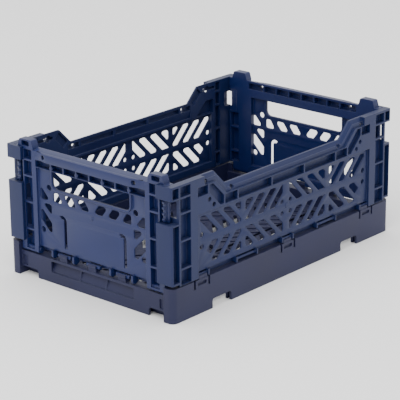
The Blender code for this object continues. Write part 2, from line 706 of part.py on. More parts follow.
def build():
    clear_scene()
    parts = make_collection("folding_crate")
    cutters = make_collection("cutters", is_cutter=True)
    tray_plastic = make_material("tray_plastic", (0.045, 0.052, 0.085), 0.5)
    long_plastic = make_material("long_wall_plastic", (0.045, 0.052, 0.09), 0.5)
    end_plastic = make_material("end_wall_plastic", (0.045, 0.055, 0.1), 0.5)
    latch_plastic = make_material("latch_plastic", (0.045, 0.055, 0.1), 0.5)

    place("base_tray", tray_mesh(cutters), tray_plastic, (0, 0, 0), 0, parts)
    long_mesh = long_wall_mesh(cutters)
    long_mesh.transform(Matrix.Translation((0, -HALF_W * MM, 0)))
    long_pivot = (0, -HALF_W + LONG_PIVOT[0], LONG_PIVOT[1])
    place("long_wall_front", long_mesh, long_plastic, long_pivot, 0, parts)
    place("long_wall_rear", long_mesh, long_plastic, long_pivot, 180, parts)

    end_mesh = end_wall_mesh(cutters)
    end_mesh.transform(Matrix.Translation((0, -END_PLANE * MM, 0)))
    end_pivot = (0, -END_PLANE + END_PIVOT[0], END_PIVOT[1])
    latches = {side: latch_mesh(side, cutters) for side in (-1, 1)}
    for side in latches:
        latches[side].transform(Matrix.Translation((0, -END_PLANE * MM, 0)))
    for name, turn in (("left", -90), ("right", 90)):
        wall = place("end_wall_" + name, end_mesh, end_plastic, end_pivot, turn, parts)
        for side in latches:
            facing = "front" if (side > 0) == (name == "left") else "rear"
            pivot = (side * (END_HALF - LATCH_W / 2), -END_PLANE, sum(WINDOW_Z) / 2)
            place("latch_" + name + "_" + facing, latches[side], latch_plastic, pivot, turn, parts, wall)


build()
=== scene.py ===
from math import acos, cos, degrees, pi, radians, sin, tan

import bmesh
import bpy
from mathutils import Matrix, Vector


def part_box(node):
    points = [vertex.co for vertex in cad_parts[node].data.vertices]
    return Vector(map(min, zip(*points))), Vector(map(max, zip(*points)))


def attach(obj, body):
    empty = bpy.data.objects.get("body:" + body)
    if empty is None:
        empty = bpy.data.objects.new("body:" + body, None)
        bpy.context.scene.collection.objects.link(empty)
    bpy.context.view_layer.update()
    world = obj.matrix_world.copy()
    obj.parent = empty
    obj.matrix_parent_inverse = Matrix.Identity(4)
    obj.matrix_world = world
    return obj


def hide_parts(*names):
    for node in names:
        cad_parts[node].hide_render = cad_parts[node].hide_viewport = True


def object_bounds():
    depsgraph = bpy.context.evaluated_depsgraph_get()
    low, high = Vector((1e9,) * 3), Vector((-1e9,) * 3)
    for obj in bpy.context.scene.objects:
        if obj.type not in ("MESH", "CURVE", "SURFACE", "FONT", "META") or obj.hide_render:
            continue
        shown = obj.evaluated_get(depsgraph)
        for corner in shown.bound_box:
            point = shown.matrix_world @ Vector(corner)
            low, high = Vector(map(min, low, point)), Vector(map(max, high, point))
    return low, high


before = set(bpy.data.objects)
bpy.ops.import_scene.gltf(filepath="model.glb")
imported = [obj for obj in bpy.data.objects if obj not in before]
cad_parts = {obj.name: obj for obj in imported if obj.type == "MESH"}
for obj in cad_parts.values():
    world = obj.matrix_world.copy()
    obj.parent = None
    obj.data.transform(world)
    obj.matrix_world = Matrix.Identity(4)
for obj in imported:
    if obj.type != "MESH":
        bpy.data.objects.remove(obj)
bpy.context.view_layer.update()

mm = 0.001  # the shapes below are worked out in millimetres, then scaled once when placed


def nodeBox(name):
    return [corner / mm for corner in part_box(name)]


trayLow, trayHigh = nodeBox("base_tray")
longLow, longHigh = nodeBox("long_wall_front")
endLow, endHigh = nodeBox("end_wall_left")
latchLow, latchHigh = nodeBox("latch_left_front")

halfLength = trayHigh.x
halfWidth = trayHigh.y
rimHeight = longHigh.z
pegTop = endHigh.z
endHalf = endHigh.y
print("frame loaded:", [round(value, 1) for value in (halfLength, halfWidth, rimHeight, pegTop, endHalf)])


# mesh makers, in millimetres

intoWall = Matrix.Rotation(radians(90), 4, "X")
alongWall = Matrix(((0, 0, 1, 0), (1, 0, 0, 0), (0, 1, 0, 0), (0, 0, 0, 1)))


def finished(bm):
    mesh = bpy.data.meshes.new("work")
    bm.to_mesh(mesh)
    bm.free()
    return mesh


def box(low, high):
    centre = [(a + b) / 2 for a, b in zip(low, high)]
    size = [abs(b - a) for a, b in zip(low, high)]
    bm = bmesh.new()
    bmesh.ops.create_cube(bm, size=1, matrix=Matrix.Translation(centre) @ Matrix.Diagonal((*size, 1)))
    return finished(bm)


def rod(start, end, radius, endRadius=None):
    start, end = Vector(start), Vector(end)
    turn = Vector((0, 0, 1)).rotation_difference(end - start).to_matrix().to_4x4()
    bm = bmesh.new()
    bmesh.ops.create_cone(bm, cap_ends=True, segments=20, radius1=radius,
                          radius2=radius if endRadius is None else endRadius, depth=(end - start).length,
                          matrix=Matrix.Translation((start + end) / 2) @ turn)
    return finished(bm)


def signedArea(points):
    return sum(a[0] * b[1] - b[0] * a[1] for a, b in zip(points, points[1:] + points[:1])) / 2


def welded(meshes):
    bm = bmesh.new()
    for mesh in meshes:
        bm.from_mesh(mesh)
    bmesh.ops.remove_doubles(bm, verts=bm.verts, dist=1e-4)
    bmesh.ops.recalc_face_normals(bm, faces=bm.faces)
    return finished(bm)


def plate(outers, low, high, holes=(), edge=0.0, turn=Matrix.Identity(4)):
    curve = bpy.data.curves.new("outline", "CURVE")
    curve.dimensions = "2D"
    curve.fill_mode = "BOTH"
    curve.extrude = (high - low) / 2 - edge
    curve.bevel_depth = edge
    curve.bevel_resolution = 1
    curve.offset = -edge
    wanted = [(list(loop), 1) for loop in outers] + [(list(loop), -1) for loop in holes]
    for loop, sense in wanted:
        if signedArea(loop) * sense < 0:
            loop = loop[::-1]
        spline = curve.splines.new("POLY")
        spline.points.add(len(loop) - 1)
        for point, (x, y) in zip(spline.points, loop):
            point.co = (x, y, 0, 1)
        spline.use_cyclic_u = True
    holder = bpy.data.objects.new("outline", curve)
    bpy.context.scene.collection.objects.link(holder)
    bpy.context.view_layer.update()
    mesh = bpy.data.meshes.new_from_object(holder.evaluated_get(bpy.context.evaluated_depsgraph_get()))
    bpy.data.objects.remove(holder, do_unlink=True)
    mesh.transform(turn @ Matrix.Translation((0, 0, (low + high) / 2)))
    return welded([mesh])


def wallPlate(outers, near, far, holes=(), edge=0.0):
    return plate(outers, -far, -near, holes, edge, intoWall)


def wallPrism(section, low, high):
    return plate([section], low, high, turn=alongWall)


def wallBox(uRange, near, far, zRange):
    return box((uRange[0], near, zRange[0]), (uRange[1], far, zRange[1]))


def worked(mesh, steps):
    holder = bpy.data.objects.new("blank", mesh)
    made = [holder]
    for operation, meshes in steps:
        tool = bpy.data.objects.new("tool", welded(meshes))
        made.append(tool)
        modifier = holder.modifiers.new(operation, "BOOLEAN")
        modifier.operation = operation
        modifier.solver = "EXACT"
        modifier.object = tool
    for obj in made:
        bpy.context.scene.collection.objects.link(obj)
    bpy.context.view_layer.update()
    result = bpy.data.meshes.new_from_object(holder.evaluated_get(bpy.context.evaluated_depsgraph_get()))
    for obj in made:
        bpy.data.objects.remove(obj, do_unlink=True)
    return result


def softened(mesh, width, shortest=2.2):
    bm = bmesh.new()
    bm.from_mesh(mesh)
    bmesh.ops.remove_doubles(bm, verts=bm.verts, dist=1e-3)
    bmesh.ops.dissolve_limit(bm, angle_limit=radians(0.5), verts=bm.verts, edges=bm.edges)
    sharp = [edge for edge in bm.edges if len(edge.link_faces) == 2
             and edge.calc_face_angle(0) > radians(38) and edge.calc_length() > shortest]
    bmesh.ops.bevel(bm, geom=sharp, offset=width, segments=2, profile=0.5, affect="EDGES", clamp_overlap=True)
    bmesh.ops.triangulate(bm, faces=[face for face in bm.faces if len(face.verts) > 4])
    return finished(bm)


def turned(mesh, degreesAbout, distance):
    copy = mesh.copy()
    copy.transform(Matrix.Rotation(radians(degreesAbout), 4, "Z") @ Matrix.Translation((0, -distance, 0)))
    return copy


# outlines


def arcPoints(centre, radius, start, end, steps):
    angles = [radians(start + (end - start) * i / steps) for i in range(steps + 1)]
    return [(centre[0] + radius * cos(angle), centre[1] + radius * sin(angle)) for angle in angles]


def disc(centre, radius):
    return arcPoints(centre, radius, 0, 345, 23)


def filleted(points, radius, steps=3):
    rounded = []
    for i, corner in enumerate(points):
        corner = Vector(corner)
        before = Vector(points[i - 1]) - corner
        after = Vector(points[(i + 1) % len(points)]) - corner
        half = before.angle(after) / 2
        cornerRadius = radius[i] if isinstance(radius, (list, tuple)) else radius
        reach = min(cornerRadius / tan(half), before.length * 0.48, after.length * 0.48)
        if cornerRadius <= 0 or half > 1.55:
            rounded.append(tuple(corner))
            continue
        centre = corner + (before.normalized() + after.normalized()).normalized() * (reach / cos(half))
        first = corner + before.normalized() * reach - centre
        last = corner + after.normalized() * reach - centre
        for k in range(steps + 1):
            direction = first.normalized().slerp(last.normalized(), k / steps)
            rounded.append(tuple(centre + direction * first.length))
    return rounded


def roundedRectangle(halfX, halfY, radius, steps=6):
    return filleted([(halfX, -halfY), (halfX, halfY), (-halfX, halfY), (-halfX, -halfY)], radius, steps)


def rectangle(uRange, zRange, radius=0.0):
    corners = [(uRange[0], zRange[0]), (uRange[1], zRange[0]), (uRange[1], zRange[1]), (uRange[0], zRange[1])]
    return filleted(corners, radius) if radius else corners


def clipped(points, limit, keepBelow):
    kept = []
    for (u1, z1), (u2, z2) in zip(points, points[1:] + points[:1]):
        inside1, inside2 = (u1 < limit) == keepBelow, (u2 < limit) == keepBelow
        if inside1:
            kept.append((u1, z1))
        if inside1 != inside2:
            kept.append((limit, z1 + (limit - u1) / (u2 - u1) * (z2 - z1)))
    return kept


def mirrored(loops):
    return [[(-u, z) for u, z in reversed(loop)] for loop in loops]


def withMirror(loop):
    return [loop, *mirrored([loop])]


def dotPairs(dots):
    return [disc((s * u, z), radius) for u, z, radius in dots for s in (-1, 1)]


def around(centre, half):
    return centre - half, centre + half


def bothWays(places):
    return [s * place for place in places for s in (-1, 1)]


def bothSides(ranges):
    return [*ranges, *[(-high, -low) for low, high in ranges]]


def spans(low, high, dividers, thickness):
    edges = [low]
    for centre in sorted(dividers):
        if low < centre - thickness / 2 and centre + thickness / 2 < high:
            edges += [centre - thickness / 2, centre + thickness / 2]
    edges.append(high)
    return list(zip(edges[::2], edges[1::2]))


def sweptAlong(path, section):
    bm = bmesh.new()
    rings = []
    for i, point in enumerate(path):
        here = Vector(point)
        before = (here - Vector(path[i - 1])).normalized() if i else None
        after = (Vector(path[i + 1]) - here).normalized() if i + 1 < len(path) else None
        along = ((before or after) + (after or before)).normalized()
        reach = 1 / along.dot(before or after)
        across = Vector((-along.y, along.x)) * reach
        rings.append([bm.verts.new((here.x + across.x * h, d, here.y + across.y * h)) for d, h in section])
    for first, second in zip(rings, rings[1:]):
        for k in range(len(section)):
            bm.faces.new((first[k - 1], first[k], second[k], second[k - 1]))
    bm.faces.new(rings[0])
    bm.faces.new(rings[-1])
    bmesh.ops.recalc_face_normals(bm, faces=bm.faces)
    return finished(bm)


slotForm = {
    "width": 8.4,
    "pitch": 13.7,
    "cornerRadius": 1.4,
    "leastArea": 16.0,
}


def slotRow(uRange, zRange, lean, first, width=slotForm["width"]):
    rise = zRange[1] - zRange[0]
    start = first - slotForm["pitch"] * int((first - uRange[0]) / slotForm["pitch"] + 3)
    slots = []
    for i in range(int((uRange[1] - start) / slotForm["pitch"]) + 4):
        foot = start + slotForm["pitch"] * i
        slot = [(foot, zRange[0]), (foot + width, zRange[0]), (foot + width + rise * lean, zRange[1]),
                (foot + rise * lean, zRange[1])]
        slot = clipped(slot, uRange[0], False)
        slot = clipped(slot, uRange[1], True) if slot else slot
        if len(slot) > 2 and abs(signedArea(slot)) > slotForm["leastArea"]:
            slots.append(filleted(slot, slotForm["cornerRadius"]))
    return slots


# sizes that the pieces share

past = 1.0  # cutters run this far beyond the face they open
panelEdge = 0.3
longDepth = 6.0
endInset = 3.0
endDepth = 6.5
longInner = halfWidth - longDepth
endPlane = halfLength - endInset
pegCentre = endHalf - 11.5  # stacking pegs, and the sockets under them
longThrough = longDepth + past
endThrough = endDepth + 3 * past


# base tray

trayForm = {
    "cornerRadius": 5.0,
    "longSkirt": 27.0,
    "endSkirt": 19.5,
    "skirtWall": 2.2,
    "innerSkin": 1.7,
    "floor": 8.0,
    "floorThickness": 2.0,
    "floorLap": 0.8,
    "floorMargin": 8.0,
    "floorRows": 6,
    "floorBand": 5.0,
    "floorSlot": 4.2,
    "centreWeb": 8.0,
    "rib": 1.6,
    "ribLap": 0.5,
    "rowRibDepth": 4.5,
    "crossRib": 2.0,
    "crossRibDepth": 4.4,
    "wellSink": 0.5,
    "endBeam": 9.0,
    "beamTop": 2.0,
    "beamEnd": 8.0,
    "beamSide": 1.5,
    "cornerBlock": 9.5,
    "blockStep": 7.0,
    "blockPocket": (1.2, 5.6),
    "blockPocketRise": 1.0,
    "blockPocketWall": 1.5,
    "handSlotIn": 42.0,
    "handSlot": (8.2, 17.5),
    "handSlotRadius": 1.2,
    "handSlotDepth": 6.2,
    "rampFoot": 1.4,
    "rampFootHeight": 1.6,
    "rampBack": 4.8,
    "rampTop": 0.2,
    "rampSkin": (1.6, 1.4),
    "rampRib": 13.75,
    "rampRibFront": (0.5, 3.2),
    "rampRibEnds": (0.5, 0.4),
    "slotLip": ((0.4, 2.4), (-1.0, 0.3)),
    "sideNotchIn": (43.7, 65.3),
    "sideNotch": 7.5,
    "sideNotchRadius": 2.0,
    "clipIn": 32.1,
    "slitSpacing": 16.0,
    "slitWidth": 2.0,
    "slitFoot": 20.3,
    "slitDepth": 2.6,
    "smallSlotHalf": 5.0,
    "smallSlot": (22.5, 25.2),
    "smallSlotDepth": 1.4,
    "smallRadius": 0.8,
    "socketHalf": 9.0,
    "socket": 6.5,
    "socketRadius": 1.6,
    "endRecess": ((69.5, 75.0), (8.0, 16.0)),
    "endRecessDepth": 1.0,
    "ridge": ((5.0, 5.8), (-0.6, 0.75)),
    "softEdge": 0.35,
}

beamInner = endPlane - trayForm["endBeam"]
blockInner = halfWidth - trayForm["cornerBlock"]
handHalf = halfWidth - trayForm["handSlotIn"]
above, below, outside = trayForm["longSkirt"] + 5, -5, 2  # clear of the tray's top, underside and ends


def mirroredBoxes(low, high):
    return [box((s * low[0], t * low[1], low[2]), (s * high[0], t * high[1], high[2]))
            for s in (-1, 1) for t in (-1, 1)]


def footOpening(uRange, top, radius):
    low, high = uRange
    return filleted([(low, below), (high, below), (high, top), (low, top)], [0, 0, radius, radius])


def longSkirtCuts():
    form = trayForm
    cuts = []
    near, far = form["sideNotchIn"]
    for uRange in bothSides([(halfLength - far, halfLength - near)]):
        notch = footOpening(uRange, form["sideNotch"], form["sideNotchRadius"])
        cuts.append(wallPlate([notch], -outside, longThrough))
    for centre in (form["clipIn"] - halfLength, 0.0, halfLength - form["clipIn"]):
        for middle in around(centre, form["slitSpacing"] / 2):
            slit = rectangle(around(middle, form["slitWidth"] / 2), (form["slitFoot"], above))
            cuts.append(wallPlate([slit], -outside, form["slitDepth"]))
        small = rectangle(around(centre, form["smallSlotHalf"]), form["smallSlot"], form["smallRadius"])
        cuts.append(wallPlate([small], -outside, form["smallSlotDepth"]))
    return cuts


def endSkirtCuts():
    form = trayForm
    handSlot = rectangle((-handHalf, handHalf), form["handSlot"], form["handSlotRadius"])
    cuts = [wallPlate([handSlot], -outside, form["handSlotDepth"])]
    for uRange in bothSides([around(pegCentre, form["socketHalf"])]):
        socket = footOpening(uRange, form["socket"], form["socketRadius"])
        cuts.append(wallPlate([socket], -outside, form["endBeam"] - form["innerSkin"]))
    recessU, recessZ = form["endRecess"]
    for uRange in bothSides([recessU]):
        recess = rectangle(uRange, recessZ, form["smallRadius"])
        cuts.append(wallPlate([recess], -outside, form["endRecessDepth"]))
    return cuts


def beamHollows():
    form = trayForm
    longTop, endTop = form["longSkirt"] - form["beamTop"], form["endSkirt"] - form["beamTop"]
    reachX, reachY = halfLength - form["beamEnd"], blockInner - form["beamSide"]
    hollows = []
    for s in (-1, 1):
        hollows.append(box((-reachX, s * (longInner + form["innerSkin"]), below),
                           (reachX, s * (halfWidth - form["skirtWall"]), longTop)))
        hollows.append(box((s * (beamInner + form["innerSkin"]), -reachY, below),
                           (s * (endPlane - form["skirtWall"]), reachY, endTop)))
    return hollows


def trayShell():
    form = trayForm
    skirtTop = form["endSkirt"]
    pocketNear, pocketFar = form["blockPocket"]
    blank = plate([roundedRectangle(halfLength, halfWidth, form["cornerRadius"])], 0, form["longSkirt"])
    well = [box((-beamInner, -longInner, form["floor"] - form["wellSink"]), (beamInner, longInner, above))]
    setBack = [box((s * endPlane, -blockInner, below), (s * (halfLength + outside), blockInner, above))
               for s in (-1, 1)]
    beamTops = [box((s * (beamInner - past), -blockInner, skirtTop),
                    (s * (halfLength + outside), blockInner, above)) for s in (-1, 1)]
    blockTops = mirroredBoxes((beamInner - past, blockInner - past, skirtTop),
                              (endPlane - form["blockStep"], longInner, above))
    pocketFoot = skirtTop + form["blockPocketRise"]
    blockPockets = mirroredBoxes((endPlane - pocketFar, blockInner - past, pocketFoot),
                                 (endPlane - pocketNear, longInner - form["blockPocketWall"], above))
    underFloor = [box((form["innerSkin"] - beamInner, -longInner, below),
                      (beamInner - form["innerSkin"], longInner, form["floor"] + past))]
    details = [turned(cut, turn, halfWidth) for turn in (0, 180) for cut in longSkirtCuts()]
    details += [turned(cut, turn, endPlane) for turn in (-90, 90) for cut in endSkirtCuts()]
    cuts = (well, setBack, beamTops, blockTops, blockPockets, underFloor, beamHollows(), details)
    return softened(worked(blank, [("DIFFERENCE", cut) for cut in cuts]), form["softEdge"])


def floorSlots():
    form = trayForm
    halfY = longInner - form["floorMargin"]
    row = 2 * halfY / form["floorRows"]
    bands = [-halfY + i * row for i in range(form["floorRows"] + 1)]
    uRange = (form["centreWeb"] / 2, beamInner - form["floorMargin"])
    slots = []
    for i, low in enumerate(bands[:-1]):
        rowRange = (low + form["floorBand"] / 2, low + row - form["floorBand"] / 2)
        loops = slotRow(uRange, rowRange, 1 if i % 2 else -1, slotForm["pitch"], form["floorSlot"])
        slots += loops + mirrored(loops)
    return slots, bands


def trayFloor():
    form = trayForm
    slots, bands = floorSlots()
    reachX, reachY = beamInner + form["floorLap"], longInner + form["floorLap"]
    edge = rectangle((-reachX, reachX), (-reachY, reachY))
    parts = [plate([edge], form["floor"] - form["floorThickness"], form["floor"], slots, panelEdge)]
    halfRib, ribTop = form["rib"] / 2, form["floor"] - past
    rowFoot, crossFoot = form["floor"] - form["rowRibDepth"], form["floor"] - form["crossRibDepth"]
    reachX, reachY = beamInner + form["ribLap"], longInner + form["ribLap"]
    for y in bands:
        parts.append(box((-reachX, y - halfRib, rowFoot), (reachX, y + halfRib, ribTop)))
    for x in around(0, form["crossRib"]):
        parts.append(box((x - halfRib, -reachY, crossFoot), (x + halfRib, reachY, ribTop)))
    return parts


def handSlotRamp():
    form = trayForm
    foot, back = form["rampFoot"], form["rampBack"]
    footSkin, backSkin = form["rampSkin"]
    low, high = form["handSlot"]
    top = high + form["rampTop"]
    ramp = [(foot, low - past), (foot, low + form["rampFootHeight"]), (back, top), (back + backSkin, top),
            (back + backSkin, high - past), (foot + footSkin, low - past)]
    lipDepth, lipHeight = form["slotLip"]
    lip = rectangle(lipDepth, [low + z for z in lipHeight])
    (front, frontTop), (footEnd, topEnd) = form["rampRibFront"], form["rampRibEnds"]
    rib = [(front, low - footEnd), (frontTop, high + topEnd), (back + past, high + topEnd),
           (foot + past, low - footEnd)]
    reach = handHalf + past
    parts = [wallPrism(section, -reach, reach) for section in (ramp, lip)]
    return parts + [wallPrism(rib, *around(u, form["rib"] / 2)) for u in around(0, form["rampRib"])]


def ridgeUnderWall():
    depth, height = trayForm["ridge"]
    section = rectangle(depth, [trayForm["longSkirt"] + z for z in height])
    return wallPrism(section, -channelEnd, channelEnd)


def makeTray():
    parts = [trayShell(), *trayFloor()]
    parts += [turned(part, turn, endPlane) for turn in (-90, 90) for part in handSlotRamp()]
    parts += [turned(ridgeUnderWall(), turn, halfWidth) for turn in (0, 180)]
    print("tray:", sum(len(part.polygons) for part in parts), "faces")
    return parts


# hinge parts on the tray: rings round the end walls' axles, cradles under the long walls' axles

hingeForm = {
    "endPivot": (3.0, 23.5),
    "endRod": 1.6,
    "gap": 0.3,
    "wall": 1.0,
    "stemAngle": 37,
    "mouthAngle": 38,
    "endRings": (-30.75, 0.0, 30.75),
    "ringHalf": 4.0,
    "longPivot": (2.7, 29.8),
    "longRod": 1.2,
    "cradleIn": 33.9,
    "cradleHalf": 4.5,
    "cradleFar": 4.7,
    "cradleDrop": 0.2,
}


def ringSection():
    form = hingeForm
    pivot = form["endPivot"]
    inner = form["endRod"] + form["gap"]
    outer = inner + form["wall"]
    stem, mouth = form["stemAngle"], form["mouthAngle"]
    left, right = around(pivot[0], outer * cos(radians(stem)))
    foot = trayForm["endSkirt"] - past
    return [(left, foot), (right, foot), *arcPoints(pivot, outer, -stem, mouth, 8),
            *arcPoints(pivot, inner, mouth, -180 - mouth, 24),
            *arcPoints(pivot, outer, 180 - mouth, 180 + stem, 8)]


def cradleSection():
    form = hingeForm
    pivot = form["longPivot"]
    near, far = pivot[0] - form["longRod"] - form["wall"], form["cradleFar"]
    foot, top = trayForm["longSkirt"] - past, pivot[1] - form["cradleDrop"]
    saddle = arcPoints(pivot, form["longRod"] + form["gap"], 0, -180, 12)
    return [(near, foot), (far, foot), (far, top), *saddle, (near, top)]


def makeHingeParts():
    form = hingeForm
    rings = [wallPrism(ringSection(), *around(centre, form["ringHalf"])) for centre in form["endRings"]]
    cradleU = halfLength - form["cradleIn"]
    cradles = [wallPrism(cradleSection(), *around(centre, form["cradleHalf"]))
               for centre in (-cradleU, 0.0, cradleU)]
    parts = [turned(ring, turn, endPlane) for turn in (-90, 90) for ring in rings]
    return parts + [turned(cradle, turn, halfWidth) for turn in (0, 180) for cradle in cradles]


# long walls

longForm = {
    "bottom": 28.0,
    "lowRim": 92.5,
    "shoulderIn": 51.0,
    "shoulderRun": 12.5,
    "shoulderRadius": 2.5,
    "tipRadius": 1.0,
    "panel": (32.3, 77.3),
    "panelBack": 2.0,
    "panelThickness": 1.1,
    "panelLap": 0.6,
    "frameSide": 4.0,
    "frameFoot": 1.4,
    "postLeg": 15.5,
    "postThickness": 2.6,
    "postBottom": 29.5,
    "postFloor": 1.6,
    "postSkin": 1.4,
    "postRadius": 1.8,
    "legFrom": 0.5,
    "topWall": 1.6,
    "window": (76.0, 94.5),
    "windowWidth": 7.7,
    "windowWall": 1.2,
    "innerWindow": ((117.4, 126.4), (79.6, 92.4)),
    "innerWindowRadius": 1.5,
    "innerWindowFrom": 2.4,
    "cellIn": (9.5, 20.5),
    "cellDepth": 4.4,
    "cellFloor": 0.4,
    "cellRibs": (40.5, 62.0, 83.0, 95.0),
    "rib": 1.5,
    "divider": 1.4,
    "channelEndIn": 28.5,
    "channelTop": 32.5,
    "channelDividers": (6.5, 37.0, 61.0, 93.0),
    "channelDepth": 5.0,
    "channelRun": 74.2,
    "rimChannel": (78.5, 85.5),
    "rimChannelDepth": 4.2,
    "rimRibs": (19.75, 59.5),
    "innerChannel": (86.2, 90.2),
    "innerFrom": 3.6,
    "innerRib": 2.6,
    "innerRun": 3.0,
    "innerCell": (105.4, 111.2),
    "innerCellFrom": 1.8,
    "innerCellFloor": 1.2,
    "underBevel": ((7.0, 86.0), (7.0, 79.2), (4.6, 79.2), (4.6, 80.4), (6.1, 86.0)),
    "rimEndIn": 36.0,
    "rimCut": ((-1.0, 3.0), (5.4, 3.0), (5.4, 0.0), (4.4, -0.2), (2.6, -3.0), (1.6, -3.3), (1.6, -6.4),
               (-1.0, -6.4)),
    "slantRecess": ((4.2, -1.8), (7.0, -1.8), (7.0, -8.0), (4.2, -8.0)),
    "slantEnds": (2.2, 0.8),
    "slopePocket": ((75.6, 79.0), (79.5, 79.0), (92.0, 91.5), (92.0, 97.5), (87.6, 97.5), (75.6, 85.5)),
    "slopePocketDepth": 3.2,
    "shoulderPocket": (91.0, 98.0),
    "pocketStart": 93.4,
    "cornerRecess": ((81.5, 77.5), (102.5, 77.5), (102.5, 89.8), (92.4, 89.8), (81.5, 78.9)),
    "cornerRecessFrom": 1.5,
    "topRecess": (98.8, 101.2),
    "topRecessStart": 89.0,
    "topRecessFrom": 2.8,
    "slotEndIn": 33.0,
    "upperRow": (58.1, 74.3),
    "lowerRow": (36.5, 52.6),
    "web": 51.2,
    "webWidth": 5.3,
    "upperSlots": 4,
    "lowerSlots": 3,
    "innerFoot": 40.6,
    "outerFoot": 51.2,
    "shortSlot": ((78.6, 52.6), (87.0, 52.6), (93.2, 46.4), (89.0, 42.2)),
    "dots": ((98.5, 60.0, 2.0), (98.5, 50.5, 2.0), (5.0, 60.5, 1.8), (5.0, 51.0, 1.8)),
    "rimDots": ((94.2, 100.0, 1.9), (91.5, 86.2, 1.8), (86.7, 81.2, 1.9), (64.75, 88.3, 2.0)),
    "topDotRecess": (2.9, 3.4),
    "axleSpans": ((-7.0, 7.0), (36.5, 61.5), (92.5, 105.5)),
    "gate": (1.0, 56.5, 2.08, 2.6, 0.5),
    "softEdge": 0.3,
}

shoulder = halfLength - longForm["shoulderIn"]
slopeFoot = shoulder - longForm["shoulderRun"]
channelEnd = halfLength - longForm["channelEndIn"]
cellTop = rimHeight - longForm["topWall"]


def gateScar(form, cover=0.5):
    u, z, tip, foot, proud = form["gate"]
    back = form["panelBack"]
    return rod((u, back - proud, z), (u, back + form["panelThickness"] - cover, z), tip, foot)


def axles(form, pivot, radius):
    lengths = sorted(set(bothSides(form["axleSpans"])))
    return [rod((low, *pivot), (high, *pivot), radius) for low, high in lengths]


def longWallBlank():
    form = longForm
    half = [(halfLength, form["bottom"]), (halfLength, rimHeight), (shoulder, rimHeight),
            (slopeFoot, form["lowRim"])]
    radii = [0, form["tipRadius"], form["shoulderRadius"], form["shoulderRadius"]]
    outline = filleted(half + [(-u, z) for u, z in reversed(half)], radii + radii[::-1])
    return wallPlate([outline], 0, longDepth)


def postSteps():
    form = longForm
    legs, feet, windows = [], [], []
    for s in (-1, 1):
        outerPart = (s * (halfLength - form["windowWidth"]), s * (halfLength + past))
        legs.append(wallBox((s * (halfLength - form["postThickness"]), s * halfLength), form["legFrom"],
                            form["postLeg"], (form["postBottom"], rimHeight)))
        feet.append(wallBox(outerPart, -past, longThrough, (form["bottom"] - past, form["postBottom"])))
        windows.append(wallBox(outerPart, -past, form["postLeg"] + past, form["window"]))
    radius = form["postRadius"]
    beyond = halfLength + past
    corner = [(beyond, -past), (beyond, radius), *arcPoints((halfLength - radius, radius), radius, 0, -90, 5),
              (halfLength - radius, -past)]
    corners = [plate([loop], form["bottom"] - past, rimHeight + past) for loop in withMirror(corner)]
    return [("DIFFERENCE", feet), ("UNION", legs), ("DIFFERENCE", windows), ("DIFFERENCE", corners)]


def outerRecesses():
    form = longForm
    cuts = []
    near, far = form["cellIn"]
    for uRange in bothSides([(halfLength - far, halfLength - near)]):
        for zRange in spans(form["bottom"] + form["cellFloor"], cellTop, form["cellRibs"], form["rib"]):
            cuts.append(wallBox(uRange, -past, form["cellDepth"], zRange))
    low, high = form["window"][0] - form["windowWall"], form["window"][1] + form["windowWall"]
    for uRange in bothSides([(halfLength - form["windowWidth"], halfLength - form["postSkin"])]):
        for zRange in ((form["postBottom"] + form["postFloor"], low), (high, cellTop)):
            cuts.append(wallBox(uRange, -past, form["cellDepth"], zRange))
    for uRange in spans(-channelEnd, channelEnd, bothWays(form["channelDividers"]), form["divider"]):
        cuts.append(wallBox(uRange, -past, form["channelDepth"], (form["bottom"] - past, form["channelTop"])))
    for uRange in spans(-form["channelRun"], form["channelRun"], bothWays(form["rimRibs"]), form["divider"]):
        cuts.append(wallBox(uRange, -past, form["rimChannelDepth"], form["rimChannel"]))
    for uRange in bothSides([(form["pocketStart"], channelEnd)]):
        cuts.append(wallBox(uRange, -past, form["rimChannelDepth"], form["shoulderPocket"]))
    for loop in withMirror(form["slopePocket"]):
        cuts.append(wallPlate([loop], -past, form["slopePocketDepth"]))
    return cuts


def innerRecesses():
    form = longForm
    reach = slopeFoot + form["innerRun"]
    cuts = [wallPrism(form["underBevel"], -reach, reach)]
    for uRange in spans(-reach, reach, bothWays(form["rimRibs"]), form["innerRib"]):
        cuts.append(wallBox(uRange, form["innerFrom"], longThrough, form["innerChannel"]))
    for uRange in bothSides([(form["topRecessStart"], channelEnd)]):
        cuts.append(wallBox(uRange, form["topRecessFrom"], longThrough, form["topRecess"]))
    return cuts


def rimCuts():
    form = longForm
    rise = [(slopeFoot, form["lowRim"]), (shoulder, rimHeight), (halfLength - form["rimEndIn"], rimHeight)]
    return [sweptAlong([(-u, z) for u, z in reversed(rise)] + rise, form["rimCut"])]


def slantCuts():
    form = longForm
    low, high = form["slantEnds"]
    slant = [(slopeFoot + low, form["lowRim"] + low), (shoulder - high, rimHeight - high)]
    cuts = [sweptAlong(line, form["slantRecess"]) for line in withMirror(slant)]
    return cuts + [wallPlate([loop], form["cornerRecessFrom"], longThrough)
                   for loop in withMirror(form["cornerRecess"])]


def panelOpenings():
    form = longForm
    low, high = form["panel"]
    reach = channelEnd - form["frameSide"]
    openings = [wallBox((-reach, reach), -past, longThrough, (low + form["frameFoot"], high))]
    windowU, windowZ = form["innerWindow"]
    for uRange in bothSides([windowU]):
        window = rectangle(uRange, windowZ, form["innerWindowRadius"])
        openings.append(wallPlate([window], form["innerWindowFrom"], longThrough))
    return openings


def innerCells():
    form = longForm
    heights = spans(form["bottom"] + form["innerCellFloor"], cellTop, form["cellRibs"], form["rib"])
    return [wallBox(uRange, form["innerCellFrom"], longThrough, zRange)
            for uRange in bothSides([form["innerCell"]]) for zRange in heights]


